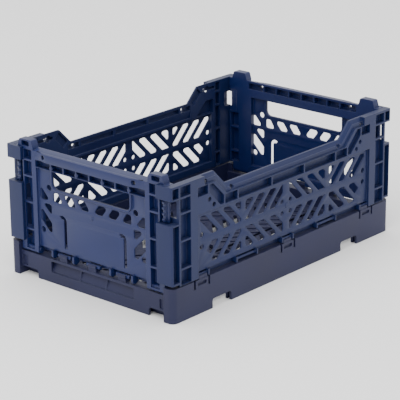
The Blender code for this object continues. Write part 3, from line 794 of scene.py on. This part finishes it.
def longWallShell():
    form = longForm
    front = [wallBox((-channelEnd, channelEnd), -past, form["panelBack"] + past, form["panel"])]
    width, start = form["topDotRecess"]
    dotU, dotZ, dotRadius = form["rimDots"][0]
    dotRecess = [wallPlate(dotPairs([(dotU, dotZ, width)]), start, longThrough)]
    holes = [wallPlate(dotPairs(form["rimDots"]), -past, longThrough)]
    cuts = (rimCuts(), outerRecesses() + innerRecesses(), slantCuts(), front, panelOpenings(), innerCells(),
            dotRecess, holes)
    steps = postSteps() + [("DIFFERENCE", cut) for cut in cuts]
    return softened(worked(longWallBlank(), steps), form["softEdge"])


def longWallSlots():
    form = longForm
    outer = (form["web"] + form["webWidth"] / 2, halfLength - form["slotEndIn"])
    inner = (trayForm["centreWeb"] / 2, form["web"] - form["webWidth"] / 2)
    upper, lower = form["upperRow"], form["lowerRow"]
    rise = lower[1] - lower[0]
    slots = slotRow(outer, upper, 1, form["outerFoot"])[:form["upperSlots"]]
    slots += slotRow(outer, lower, -1, form["outerFoot"] + rise)[:form["lowerSlots"]]
    slots += slotRow(inner, upper, -1, form["innerFoot"])
    slots += slotRow(inner, lower, 1, form["innerFoot"] - rise)
    slots.append(filleted(form["shortSlot"], slotForm["cornerRadius"]))
    return slots + mirrored(slots) + dotPairs(form["dots"])


def makeLongWall():
    form = longForm
    back, lap = form["panelBack"], form["panelLap"]
    low, high = form["panel"]
    edge = rectangle((-channelEnd - lap, channelEnd + lap), (low, high + lap))
    panel = wallPlate([edge], back, back + form["panelThickness"], longWallSlots(), panelEdge)
    parts = [longWallShell(), panel, gateScar(form)]
    parts += axles(form, hingeForm["longPivot"], hingeForm["longRod"])
    print("long wall:", sum(len(part.polygons) for part in parts), "faces")
    return welded(parts)


# end walls

endForm = {
    "channelIn": 22.0,
    "channelTop": 26.9,
    "knuckles": (19.5, 42.0),
    "knuckle": 1.8,
    "blockGap": 2.0,
    "panelIn": 22.5,
    "panel": (26.7, 90.8),
    "panelBack": 2.0,
    "panelThickness": 1.2,
    "panelLap": 0.6,
    "frameSide": 2.0,
    "frameFoot": 3.0,
    "windowIn": 7.9,
    "windowDrop": 0.5,
    "cellIn": (9.2, 17.8),
    "cellFoot": 23.0,
    "cellDepth": 4.9,
    "cellRibs": (39.0, 61.0, 82.0, 95.0),
    "rib": 1.5,
    "railChannel": (91.4, 96.8),
    "railDepth": 5.0,
    "railRibs": (0.0, 27.0),
    "railPins": (13.5, 40.5),
    "railRib": 1.4,
    "pinRadius": 1.7,
    "pinHeight": 93.0,
    "pinDepth": (0.3, 5.5),
    "innerCells": (98.0, 103.2),
    "innerCellsFrom": 1.4,
    "opening": (40.5, 76.6, 90.5),
    "openingRadius": 4.5,
    "lip": 1.6,
    "lipDepth": (0.7, 3.4),
    "gripHalf": 42.0,
    "gripRun": 14.0,
    "gripProud": 2.4,
    "gripSteps": 10,
    "gripRound": 0.9,
    "gripInset": (0.2, 1.2),
    "strapU": (32.4, 35.2),
    "strapStep": 62.5,
    "strapRadius": (1.6, 4.4),
    "strapTurn": 130,
    "strapFoot": 30.2,
    "strapTop": 56.5,
    "axleSpans": ((-7.0, 7.0), (24.0, 37.5), (56.5, 78.5)),
    "holes": (
        ((1.6, 65.8), (10.6, 65.8), (16.6, 73.5), (7.4, 73.5)),
        ((15.8, 65.8), (24.4, 65.8), (30.6, 73.5), (21.6, 73.5)),
        ((30.8, 65.8), (40.6, 65.8), (40.6, 73.5), (35.8, 73.5)),
        ((44.4, 65.8), (55.0, 65.8), (55.0, 77.2)),
        ((43.0, 53.2), (53.2, 63.0), (43.0, 63.0)),
        ((43.2, 40.4), (46.4, 40.4), (54.8, 48.8), (54.8, 57.4), (52.6, 57.4), (43.2, 48.0)),
    ),
    "holeRadius": 1.7,
    "dots": ((45.2, 76.2, 2.4), (52.8, 41.2, 2.3)),
    "railDot": (47.0, 100.8, 1.9),
    "gate": (0.0, 61.5, 1.2, 2.0, 0.6),
    "footSkin": (22.7, 28.4),
    "footSkinDepth": (6.0, 6.4),
    "footSkinLap": 0.5,
    "ringClear": 0.6,
    "innerColumn": (68.6, 77.4),
    "innerColumnFrom": 1.8,
    "innerColumnEnds": (3.2, 1.8),
    "webIn": (2.6, 8.4),
    "webDepth": (5.4, 6.4),
    "flapIn": (0.2, 3.0),
    "flapDepth": (5.3, 6.3),
    "webLap": (1.0, 0.5),
    "topSlope": ((-1.0, 1.0), (-1.0, -1.7), (0.0, -1.4), (5.2, 0.0), (5.2, 1.0)),
    "peg": (8.0, 6.25),
    "pegFoot": 0.4,
    "pegRadius": 1.4,
    "pegCell": 4.0,
    "pegCellEnds": (0.8, 1.2),
    "pegCellDepth": 4.5,
    "pegCellRadius": 0.8,
    "pegDot": 1.3,
    "pegDotUp": 3.0,
    "pegDotDepth": (4.3, 5.5),
    "softEdge": 0.3,
}

footRadius = endDepth - hingeForm["endPivot"][0]
footLow = hingeForm["endPivot"][1] - footRadius
channelHalf = endHalf - endForm["channelIn"]
panelHalf = endHalf - endForm["panelIn"]


def endWallBlank():
    d, z = hingeForm["endPivot"]
    start = 180 + degrees(acos(d / footRadius))
    section = [(endDepth, rimHeight), (0, rimHeight), *arcPoints((d, z), footRadius, start, 360, 16)]
    return wallPrism(section, -endHalf, endHalf)


def endWallNotches():
    form = endForm
    low, high = longForm["window"]
    foot, blockTop = footLow - past, trayForm["longSkirt"] + form["blockGap"]
    cuts = []
    for uRange in bothSides([(blockInner - past, endHalf + past)]):
        cuts.append(wallBox(uRange, -past, endThrough, (foot, blockTop)))
    for uRange in bothSides([(endHalf - form["windowIn"], endHalf + past)]):
        cuts.append(wallBox(uRange, -past, endThrough, (low - form["windowDrop"], high)))
    for uRange in spans(-channelHalf, channelHalf, bothWays(form["knuckles"]), form["knuckle"]):
        cuts.append(wallBox(uRange, -past, endThrough, (foot, form["channelTop"])))
    return cuts


def railSpans():
    dividers = sorted(set(bothWays(endForm["railRibs"] + endForm["railPins"])))
    return spans(-channelHalf, channelHalf, dividers, endForm["railRib"])


def endWallCells():
    form = endForm
    near, far = form["cellIn"]
    heights = spans(form["cellFoot"], cellTop, form["cellRibs"], form["rib"])
    cuts = [wallBox(uRange, -past, form["cellDepth"], zRange)
            for uRange in bothSides([(endHalf - far, endHalf - near)]) for zRange in heights]
    return cuts + [wallBox(uRange, -past, form["railDepth"], form["railChannel"]) for uRange in railSpans()]


def innerColumns():
    form = endForm
    foot, top = form["innerColumnEnds"]
    heights = spans(trayForm["longSkirt"] + foot, longForm["window"][0] - top, form["cellRibs"], form["rib"])
    return [wallBox(uRange, form["innerColumnFrom"], endThrough, zRange)
            for uRange in bothSides([form["innerColumn"]]) for zRange in heights]


def stackingPegs():
    base, tip = endForm["peg"]
    foot, radius = rimHeight + endForm["pegFoot"], endForm["pegRadius"]
    pegs = []
    for u in around(0, pegCentre):
        outline = [(u - base, rimHeight - past), (u + base, rimHeight - past), (u + base, foot),
                   (u + tip, pegTop), (u - tip, pegTop), (u - base, foot)]
        pegs.append(wallPlate([filleted(outline, [0, 0, 0, radius, radius, 0])], 0, endDepth))
    return pegs


def pegCuts():
    form = endForm
    low, high = rimHeight + form["pegCellEnds"][0], pegTop - form["pegCellEnds"][1]
    start, end = form["pegDotDepth"]
    height = rimHeight + form["pegDotUp"]
    cuts = []
    for u in around(0, pegCentre):
        cell = rectangle(around(u, form["pegCell"]), (low, high), form["pegCellRadius"])
        cuts.append(wallPlate([cell], -past, form["pegCellDepth"]))
        cuts.append(rod((u, start, height), (u, end, height), form["pegDot"]))
    return cuts


def railDots():
    return [wallPlate([loop], -4 * past, endThrough) for loop in dotPairs([endForm["railDot"]])]


def endWallShell():
    form = endForm
    low, high = form["panel"]
    inner = panelHalf - form["frameSide"]
    slopeReach = pegCentre - form["peg"][0]
    slope = [(d, rimHeight + z) for d, z in form["topSlope"]]
    rails = [wallBox(uRange, form["innerCellsFrom"], endThrough, form["innerCells"])
             for uRange in railSpans()]
    front = [wallBox((-panelHalf, panelHalf), -past, form["panelBack"] + past, (low, high))]
    frameInside = [wallBox((-inner, inner), -past, endThrough, (low + form["frameFoot"], high))]
    topSlope = [wallPrism(slope, -slopeReach, slopeReach)]
    cuts = (endWallNotches(), endWallCells(), rails, front, frameInside, innerColumns(), topSlope)
    steps = [("DIFFERENCE", cut) for cut in cuts]
    steps += [("UNION", stackingPegs()), ("DIFFERENCE", pegCuts() + railDots())]
    return softened(worked(endWallBlank(), steps), form["softEdge"])


def windowWebs():
    form = endForm
    low, high = longForm["window"][0] - form["webLap"][0], longForm["window"][1] + form["webLap"][1]
    gapLow, gapHigh = longForm["innerWindow"][1]
    webNear, webFar = form["webIn"]
    flapNear, flapFar = form["flapIn"]
    webs = [wallBox(uRange, *form["webDepth"], (low, high))
            for uRange in bothSides([(endHalf - webFar, endHalf - webNear)])]
    return webs + [wallBox(uRange, *form["flapDepth"], zRange)
                   for uRange in bothSides([(endHalf - flapFar, endHalf - flapNear)])
                   for zRange in ((low, gapLow), (gapHigh, high))]


def openingOutline(lip=0.0, rise=0.0):
    half, low, high = endForm["opening"]
    radius = endForm["openingRadius"] + lip
    left, right, foot, top = -half - lip, half + lip, low - lip, high + rise
    corners = [(left, top), (left, foot), (right, foot), (right, top)]
    return filleted(corners, [1, radius, radius, 1], 5)


def strapSlots():
    form = endForm
    near, far = form["strapU"]
    inner, outer = form["strapRadius"]
    centre = (far - outer, form["strapTop"] - outer)
    foot, turn = form["strapFoot"], form["strapTurn"]
    hook = [(near, foot), (far, foot), *arcPoints(centre, outer, 0, turn, 10),
            *arcPoints(centre, inner, turn, 0, 8)]
    return [hook, [(u - form["strapStep"], z) for u, z in hook]]  # both hooks bend the same way


def endWallPanel():
    form = endForm
    back, lap = form["panelBack"], form["panelLap"]
    low, high = form["panel"]
    holes = [filleted(loop, form["holeRadius"]) for loop in form["holes"]]
    holes += mirrored(holes) + dotPairs(form["dots"]) + strapSlots() + [openingOutline()]
    edge = rectangle((-panelHalf - lap, panelHalf + lap), (low, high + lap))
    return wallPlate([edge], back, back + form["panelThickness"], holes, panelEdge)


def gripRail():
    form = endForm
    bulge = []
    for i in range(form["gripSteps"] + 1):
        share = i / form["gripSteps"]
        proud = form["gripProud"] * (1 - cos(pi * share)) / 2
        bulge.append((form["gripHalf"] + form["gripRun"] * (1 - share), proud))
    grip = [(-u, -proud) for u, proud in bulge] + [(u, -proud) for u, proud in reversed(bulge)]
    grip += [(grip[-1][0], past), (grip[0][0], past)]
    low, high = form["railChannel"][1] + form["gripInset"][0], rimHeight - form["gripInset"][1]
    return worked(plate([grip], low, high, edge=form["gripRound"]), [("DIFFERENCE", railDots())])


def makeEndWall():
    form = endForm
    lip = wallPlate([openingOutline(form["lip"], past)], *form["lipDepth"], [openingOutline()], panelEdge)
    parts = [endWallShell(), *windowWebs(), endWallPanel(), lip]
    start, end = form["pinDepth"]
    for u in bothWays(form["railPins"]):
        parts.append(rod((u, start, form["pinHeight"]), (u, end, form["pinHeight"]), form["pinRadius"]))
    parts.append(gripRail())
    parts += axles(form, hingeForm["endPivot"], hingeForm["endRod"])
    skinReach = channelHalf + form["footSkinLap"]
    ringRoom = 2 * (hingeForm["ringHalf"] + form["ringClear"])
    for uRange in spans(-skinReach, skinReach, hingeForm["endRings"], ringRoom):
        parts.append(wallBox(uRange, *form["footSkinDepth"], form["footSkin"]))
    parts.append(gateScar(form))
    print("end wall:", sum(len(part.polygons) for part in parts), "faces")
    return welded(parts)


# latch tongues

latchForm = {
    "width": 5.0,
    "proud": 1.0,
    "thickness": 4.6,
    "step": 1.6,
    "strip": 2.6,
    "stripFront": 0.3,
    "stripBack": 0.3,
    "stripEnds": 0.4,
    "teeth": 4,
    "toothSide": 0.2,
    "toothRoot": 0.34,
    "toothTip": 0.22,
    "toothPoint": 0.05,
    "toothRound": 0.4,
    "softEdge": 0.25,
    "shortestSoftened": 1.0,
}


def makeLatch(side):
    form = latchForm
    inner = endHalf - form["width"]
    low, high = latchLow.z, latchHigh.z
    far = form["thickness"] - form["proud"]
    stripEnd = inner + form["strip"]
    bar = wallBox((side * inner, side * endHalf), form["step"], far, (low, high))
    strip = wallBox((side * inner, side * stripEnd), form["stripFront"], far - form["stripBack"],
                    (low + form["stripEnds"], high - form["stripEnds"]))
    parts = [softened(solid, form["softEdge"], form["shortestSoftened"]) for solid in (bar, strip)]
    toothU = sorted((side * (inner + form["toothSide"]), side * (stripEnd - form["toothSide"])))
    pitch = (high - low) / form["teeth"]
    back, tip = form["stripFront"] + form["toothSide"], -form["proud"]
    for i in range(form["teeth"]):
        middle = low + pitch * (i + 0.5)
        rootLow, rootHigh = around(middle, pitch * form["toothRoot"])
        tipLow, tipHigh = around(middle, pitch * form["toothTip"])
        tooth = [(back, rootLow), (back, rootHigh), (tip + form["toothRound"], tipHigh),
                 (tip, middle + pitch * form["toothPoint"]), (tip + form["toothRound"], tipLow)]
        parts.append(wallPrism(tooth, *toothU))
    return welded(parts)


# shared effects


def newGroup(name, inputs, outputs):
    group = bpy.data.node_groups.new(name, "ShaderNodeTree")
    for label, kind, value in inputs:
        socket = group.interface.new_socket(name=label, in_out="INPUT", socket_type=kind)
        socket.default_value = value
    for label, kind in outputs:
        group.interface.new_socket(name=label, in_out="OUTPUT", socket_type=kind)
    return group, group.nodes.new("NodeGroupInput"), group.nodes.new("NodeGroupOutput")


def addNode(tree, kind, place, **settings):
    node = tree.nodes.new(kind)
    node.location = (place[0] * 200, -place[1] * 200)
    for key, value in settings.items():
        setattr(node, key, value)
    return node


def mouldedGrainGroup():
    group, start, end = newGroup(
        "mouldedGrain",
        [("Grain Scale", "NodeSocketFloat", 1800.0), ("Mottle Scale", "NodeSocketFloat", 22.0)],
        [("Height", "NodeSocketFloat"), ("Mottle", "NodeSocketFloat")])
    place = addNode(group, "ShaderNodeTexCoord", (0, 1))
    pits = addNode(group, "ShaderNodeTexVoronoi", (1, 0), feature="F1", distance="EUCLIDEAN")
    fine = addNode(group, "ShaderNodeTexNoise", (1, 1))
    fine.inputs["Detail"].default_value = 2.0
    broad = addNode(group, "ShaderNodeTexNoise", (1, 2))
    broad.inputs["Detail"].default_value = 3.0
    broad.inputs["Roughness"].default_value = 0.45
    both = addNode(group, "ShaderNodeMath", (2, 0), operation="MULTIPLY_ADD")
    both.inputs[1].default_value = 0.5
    spread = addNode(group, "ShaderNodeMapRange", (2, 2))
    spread.inputs["From Min"].default_value = 0.3
    spread.inputs["From Max"].default_value = 0.7
    link = group.links.new
    for texture in (pits, fine, broad):
        link(place.outputs["Object"], texture.inputs["Vector"])
    link(start.outputs["Grain Scale"], pits.inputs["Scale"])
    link(start.outputs["Grain Scale"], fine.inputs["Scale"])
    link(start.outputs["Mottle Scale"], broad.inputs["Scale"])
    link(pits.outputs["Distance"], both.inputs[0])
    link(fine.outputs["Fac"], both.inputs[2])
    link(both.outputs[0], end.inputs["Height"])
    link(broad.outputs["Fac"], spread.inputs["Value"])
    link(spread.outputs["Result"], end.inputs["Mottle"])
    return group


def edgeWearGroup():
    group, start, end = newGroup(
        "edgeWear",
        [("Radius", "NodeSocketFloat", 0.0006), ("Breakup Scale", "NodeSocketFloat", 160.0)],
        [("Mask", "NodeSocketFloat"), ("Rounded Normal", "NodeSocketVector")])
    bevel = addNode(group, "ShaderNodeBevel", (1, 0), samples=6)
    surface = addNode(group, "ShaderNodeNewGeometry", (1, 1))
    place = addNode(group, "ShaderNodeTexCoord", (0, 2))
    breakup = addNode(group, "ShaderNodeTexNoise", (1, 2))
    breakup.inputs["Detail"].default_value = 4.0
    same = addNode(group, "ShaderNodeVectorMath", (2, 0), operation="DOT_PRODUCT")
    edge = addNode(group, "ShaderNodeMapRange", (3, 0))
    edge.inputs["From Min"].default_value = 0.99
    edge.inputs["From Max"].default_value = 0.86
    patches = addNode(group, "ShaderNodeMapRange", (3, 2))
    patches.inputs["From Min"].default_value = 0.38
    patches.inputs["From Max"].default_value = 0.62
    worn = addNode(group, "ShaderNodeMath", (4, 0), operation="MULTIPLY")
    link = group.links.new
    link(start.outputs["Radius"], bevel.inputs["Radius"])
    link(bevel.outputs["Normal"], same.inputs[0])
    link(surface.outputs["Normal"], same.inputs[1])
    link(same.outputs["Value"], edge.inputs["Value"])
    link(place.outputs["Object"], breakup.inputs["Vector"])
    link(start.outputs["Breakup Scale"], breakup.inputs["Scale"])
    link(breakup.outputs["Fac"], patches.inputs["Value"])
    link(edge.outputs["Result"], worn.inputs[0])
    link(patches.outputs["Result"], worn.inputs[1])
    link(worn.outputs[0], end.inputs["Mask"])
    link(bevel.outputs["Normal"], end.inputs["Rounded Normal"])
    return group


# grey film on upward faces, broken up by noise: partly dust, partly a painted sheen that lightens the tops
# where the light falls on them
def dustAndTopSheenGroup():
    group, start, end = newGroup(
        "dustAndTopSheen",
        [("Amount", "NodeSocketFloat", 0.2), ("Speck Scale", "NodeSocketFloat", 420.0)],
        [("Mask", "NodeSocketFloat")])
    place = addNode(group, "ShaderNodeTexCoord", (0, 1))
    parts = addNode(group, "ShaderNodeSeparateXYZ", (1, 0))
    upward = addNode(group, "ShaderNodeMapRange", (2, 0))
    upward.inputs["From Min"].default_value = 0.5
    upward.inputs["From Max"].default_value = 0.95
    specks = addNode(group, "ShaderNodeTexNoise", (1, 1))
    specks.inputs["Detail"].default_value = 5.0
    cloud = addNode(group, "ShaderNodeMapRange", (2, 1))
    cloud.inputs["From Min"].default_value = 0.35
    cloud.inputs["From Max"].default_value = 0.75
    film = addNode(group, "ShaderNodeMath", (3, 0), operation="MULTIPLY")
    amount = addNode(group, "ShaderNodeMath", (4, 0), operation="MULTIPLY")
    link = group.links.new
    link(place.outputs["Normal"], parts.inputs[0])
    link(parts.outputs["Z"], upward.inputs["Value"])
    link(place.outputs["Object"], specks.inputs["Vector"])
    link(start.outputs["Speck Scale"], specks.inputs["Scale"])
    link(specks.outputs["Fac"], cloud.inputs["Value"])
    link(upward.outputs["Result"], film.inputs[0])
    link(cloud.outputs["Result"], film.inputs[1])
    link(film.outputs[0], amount.inputs[0])
    link(start.outputs["Amount"], amount.inputs[1])
    link(amount.outputs[0], end.inputs["Mask"])
    return group


grainGroup = mouldedGrainGroup()
wearGroup = edgeWearGroup()
dustAndSheenGroup = dustAndTopSheenGroup()


# materials

# the dust entry sets how strongly the grey film lightens upward faces: part dust, part painted top sheen
plasticFinish = {
    "trayPlastic": {
        "dark": (0.0085, 0.0100, 0.038), "light": (0.0115, 0.0135, 0.048), "roughness": (0.42, 0.52),
        "shine": 0.28, "grain": 1500.0, "bump": 0.10, "dustAndSheen": 0.22, "wear": 0.5,
    },
    "longWallPlastic": {
        "dark": (0.0042, 0.0098, 0.049), "light": (0.0058, 0.0125, 0.059), "roughness": (0.38, 0.48),
        "shine": 0.28, "grain": 1700.0, "bump": 0.08, "dustAndSheen": 0.14, "wear": 0.4,
    },
    "endWallPlastic": {
        "dark": (0.0035, 0.0095, 0.060), "light": (0.0050, 0.0125, 0.072), "roughness": (0.36, 0.46),
        "shine": 0.38, "grain": 1700.0, "bump": 0.08, "dustAndSheen": 0.14, "wear": 0.45,
    },
    "latchPlastic": {
        "dark": (0.0035, 0.0090, 0.052), "light": (0.0048, 0.0118, 0.062), "roughness": (0.32, 0.42),
        "shine": 0.38, "grain": 2100.0, "bump": 0.06, "dustAndSheen": 0.1, "wear": 0.6,
    },
}
wornColour = (0.030, 0.037, 0.075)
# grey of the film on upward faces: dust colour that also serves as a painted top sheen
dustAndSheenColour = (0.12, 0.125, 0.15)


def mouldedPlastic(name, finish):
    material = bpy.data.materials.new(name)
    material.use_nodes = True
    tree = material.node_tree
    link = tree.links.new
    shader = tree.nodes["Principled BSDF"]
    shader.inputs["IOR"].default_value = 1.5
    shader.inputs["Specular IOR Level"].default_value = finish["shine"]
    grain = addNode(tree, "ShaderNodeGroup", (-6, 1), node_tree=grainGroup)
    grain.inputs["Grain Scale"].default_value = finish["grain"]
    wear = addNode(tree, "ShaderNodeGroup", (-6, 2), node_tree=wearGroup)
    dustAndSheen = addNode(tree, "ShaderNodeGroup", (-6, 3), node_tree=dustAndSheenGroup)
    dustAndSheen.inputs["Amount"].default_value = finish["dustAndSheen"]
    colour = addNode(tree, "ShaderNodeMix", (-4, 0), data_type="RGBA")
    colour.inputs["A"].default_value = (*finish["dark"], 1)
    colour.inputs["B"].default_value = (*finish["light"], 1)
    wearStrength = addNode(tree, "ShaderNodeMath", (-4, 2), operation="MULTIPLY")
    wearStrength.inputs[1].default_value = finish["wear"]
    worn = addNode(tree, "ShaderNodeMix", (-3, 0), data_type="RGBA")
    worn.inputs["B"].default_value = (*wornColour, 1)
    # mixes in the grey film on upward faces: dust plus a painted lighter sheen on the tops
    dustAndSheenMix = addNode(tree, "ShaderNodeMix", (-2, 0), data_type="RGBA")
    dustAndSheenMix.inputs["B"].default_value = (*dustAndSheenColour, 1)
    sheen = addNode(tree, "ShaderNodeMapRange", (-3, 1))
    sheen.inputs["To Min"].default_value, sheen.inputs["To Max"].default_value = finish["roughness"]
    matt = addNode(tree, "ShaderNodeMath", (-2, 1), operation="MULTIPLY_ADD")
    matt.inputs[1].default_value = 0.5
    bump = addNode(tree, "ShaderNodeBump", (-2, 3))
    bump.inputs["Strength"].default_value = finish["bump"]
    bump.inputs["Distance"].default_value = 0.0002
    link(grain.outputs["Mottle"], colour.inputs["Factor"])
    link(wear.outputs["Mask"], wearStrength.inputs[0])
    link(wearStrength.outputs[0], worn.inputs["Factor"])
    link(colour.outputs["Result"], worn.inputs["A"])
    link(worn.outputs["Result"], dustAndSheenMix.inputs["A"])
    link(dustAndSheen.outputs["Mask"], dustAndSheenMix.inputs["Factor"])
    link(dustAndSheenMix.outputs["Result"], shader.inputs["Base Color"])
    link(grain.outputs["Mottle"], sheen.inputs["Value"])
    link(dustAndSheen.outputs["Mask"], matt.inputs[0])
    link(sheen.outputs["Result"], matt.inputs[2])
    link(matt.outputs[0], shader.inputs["Roughness"])
    link(grain.outputs["Height"], bump.inputs["Height"])
    link(wear.outputs["Rounded Normal"], bump.inputs["Normal"])
    link(bump.outputs["Normal"], shader.inputs["Normal"])
    return material


plastics = {name: mouldedPlastic(name, finish) for name, finish in plasticFinish.items()}
print("materials:", ", ".join(plastics))


# pieces, each standing for its CAD node and riding on that node's body


def addPiece(name, mesh, plastic, body, node):
    mesh.transform(Matrix.Scale(mm, 4))
    mesh.name = name
    mesh.materials.clear()
    mesh.materials.append(plastics[plastic])
    for polygon in mesh.polygons:
        polygon.use_smooth = True
    mesh.set_sharp_from_angle(angle=radians(32))
    piece = bpy.data.objects.new(name, mesh)
    bpy.context.scene.collection.objects.link(piece)
    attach(piece, body)
    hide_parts(node)
    print("piece:", name, len(mesh.polygons), "faces")


addPiece("trayMoulding", welded(makeTray() + makeHingeParts()), "trayPlastic", "crate_body", "base_tray")
longWall = makeLongWall()
addPiece("longWallFront", turned(longWall, 0, halfWidth), "longWallPlastic", "crate_body", "long_wall_front")
addPiece("longWallRear", turned(longWall, 180, halfWidth), "longWallPlastic", "crate_body", "long_wall_rear")
endWall = makeEndWall()
latches = {side: makeLatch(side) for side in (-1, 1)}
for end, turn in (("left", -90), ("right", 90)):
    addPiece("endWall" + end.title(), turned(endWall, turn, endPlane), "endWallPlastic", "end_" + end,
             "end_wall_" + end)
    for side, latch in latches.items():
        corner = "front" if (side > 0) == (end == "left") else "rear"
        addPiece("latch" + end.title() + corner.title(), turned(latch, turn, endPlane), "latchPlastic",
                 "tongue_" + end + "_" + corner, "latch_" + end + "_" + corner)


# floor, light and camera

studio = {
    "world": 1.5,
    "floorColour": (0.92, 0.92, 0.92),
    "floorHalf": 4.0,
    "keyPower": 17.0,
    "keySize": 1.2,
    "keyPlace": (-1.1, -0.5, 1.3),
    "topPower": 10.0,
    "topSize": 1.6,
    "topPlace": (0.1, 0.3, 1.7),
}


def makeFloor():
    bm = bmesh.new()
    bmesh.ops.create_grid(bm, x_segments=8, y_segments=8, size=studio["floorHalf"])
    mesh = finished(bm)
    material = bpy.data.materials.new("paleFloor")
    material.use_nodes = True
    shader = material.node_tree.nodes["Principled BSDF"]
    shader.inputs["Base Color"].default_value = (*studio["floorColour"], 1)
    shader.inputs["Roughness"].default_value = 0.8
    mesh.materials.append(material)
    floor = bpy.data.objects.new("paleFloor", mesh)
    floor.location.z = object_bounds()[0][2] - 0.0002
    bpy.context.scene.collection.objects.link(floor)


def makeSoftbox(name, place, size, power, target):
    light = bpy.data.lights.new(name, "AREA")
    light.shape = "SQUARE"
    light.size = size
    light.energy = power
    holder = bpy.data.objects.new(name, light)
    holder.location = place
    holder.rotation_euler = (Vector(target) - Vector(place)).to_track_quat("-Z", "Y").to_euler()
    bpy.context.scene.collection.objects.link(holder)


makeFloor()
crateMiddle = (0, 0, rimHeight * mm / 2)
makeSoftbox("keySoftbox", studio["keyPlace"], studio["keySize"], studio["keyPower"], crateMiddle)
makeSoftbox("topSoftbox", studio["topPlace"], studio["topSize"], studio["topPower"], crateMiddle)
world = bpy.data.worlds.new("studioWhite")
bpy.context.scene.world = world
world.use_nodes = True
background = world.node_tree.nodes["Background"]
background.inputs["Color"].default_value = (1, 1, 1, 1)
background.inputs["Strength"].default_value = studio["world"]

cameraView = {
    "azimuth": -48.5,
    "elevation": 19.03,
    "roll": -0.6,
    "distance": 1.431,
    "aim": (-0.01875, -0.01155, 0.050),
    "lens": 163.4,
}


def makeCamera():
    view = cameraView
    azimuth, elevation = radians(view["azimuth"]), radians(view["elevation"])
    back = Vector((sin(azimuth) * cos(elevation), -cos(azimuth) * cos(elevation), sin(elevation)))
    camera = bpy.data.cameras.new("crateCamera")
    camera.lens = view["lens"]
    camera.sensor_width = 36
    camera.clip_start = 0.05
    holder = bpy.data.objects.new("crateCamera", camera)
    turn = (-back).to_track_quat("-Z", "Y").to_matrix().to_4x4()
    turn = turn @ Matrix.Rotation(radians(view["roll"]), 4, "Z")
    holder.matrix_world = Matrix.Translation(Vector(view["aim"]) + back * view["distance"]) @ turn
    bpy.context.scene.collection.objects.link(holder)
    bpy.context.scene.camera = holder


makeCamera()
print("studio and camera ready")
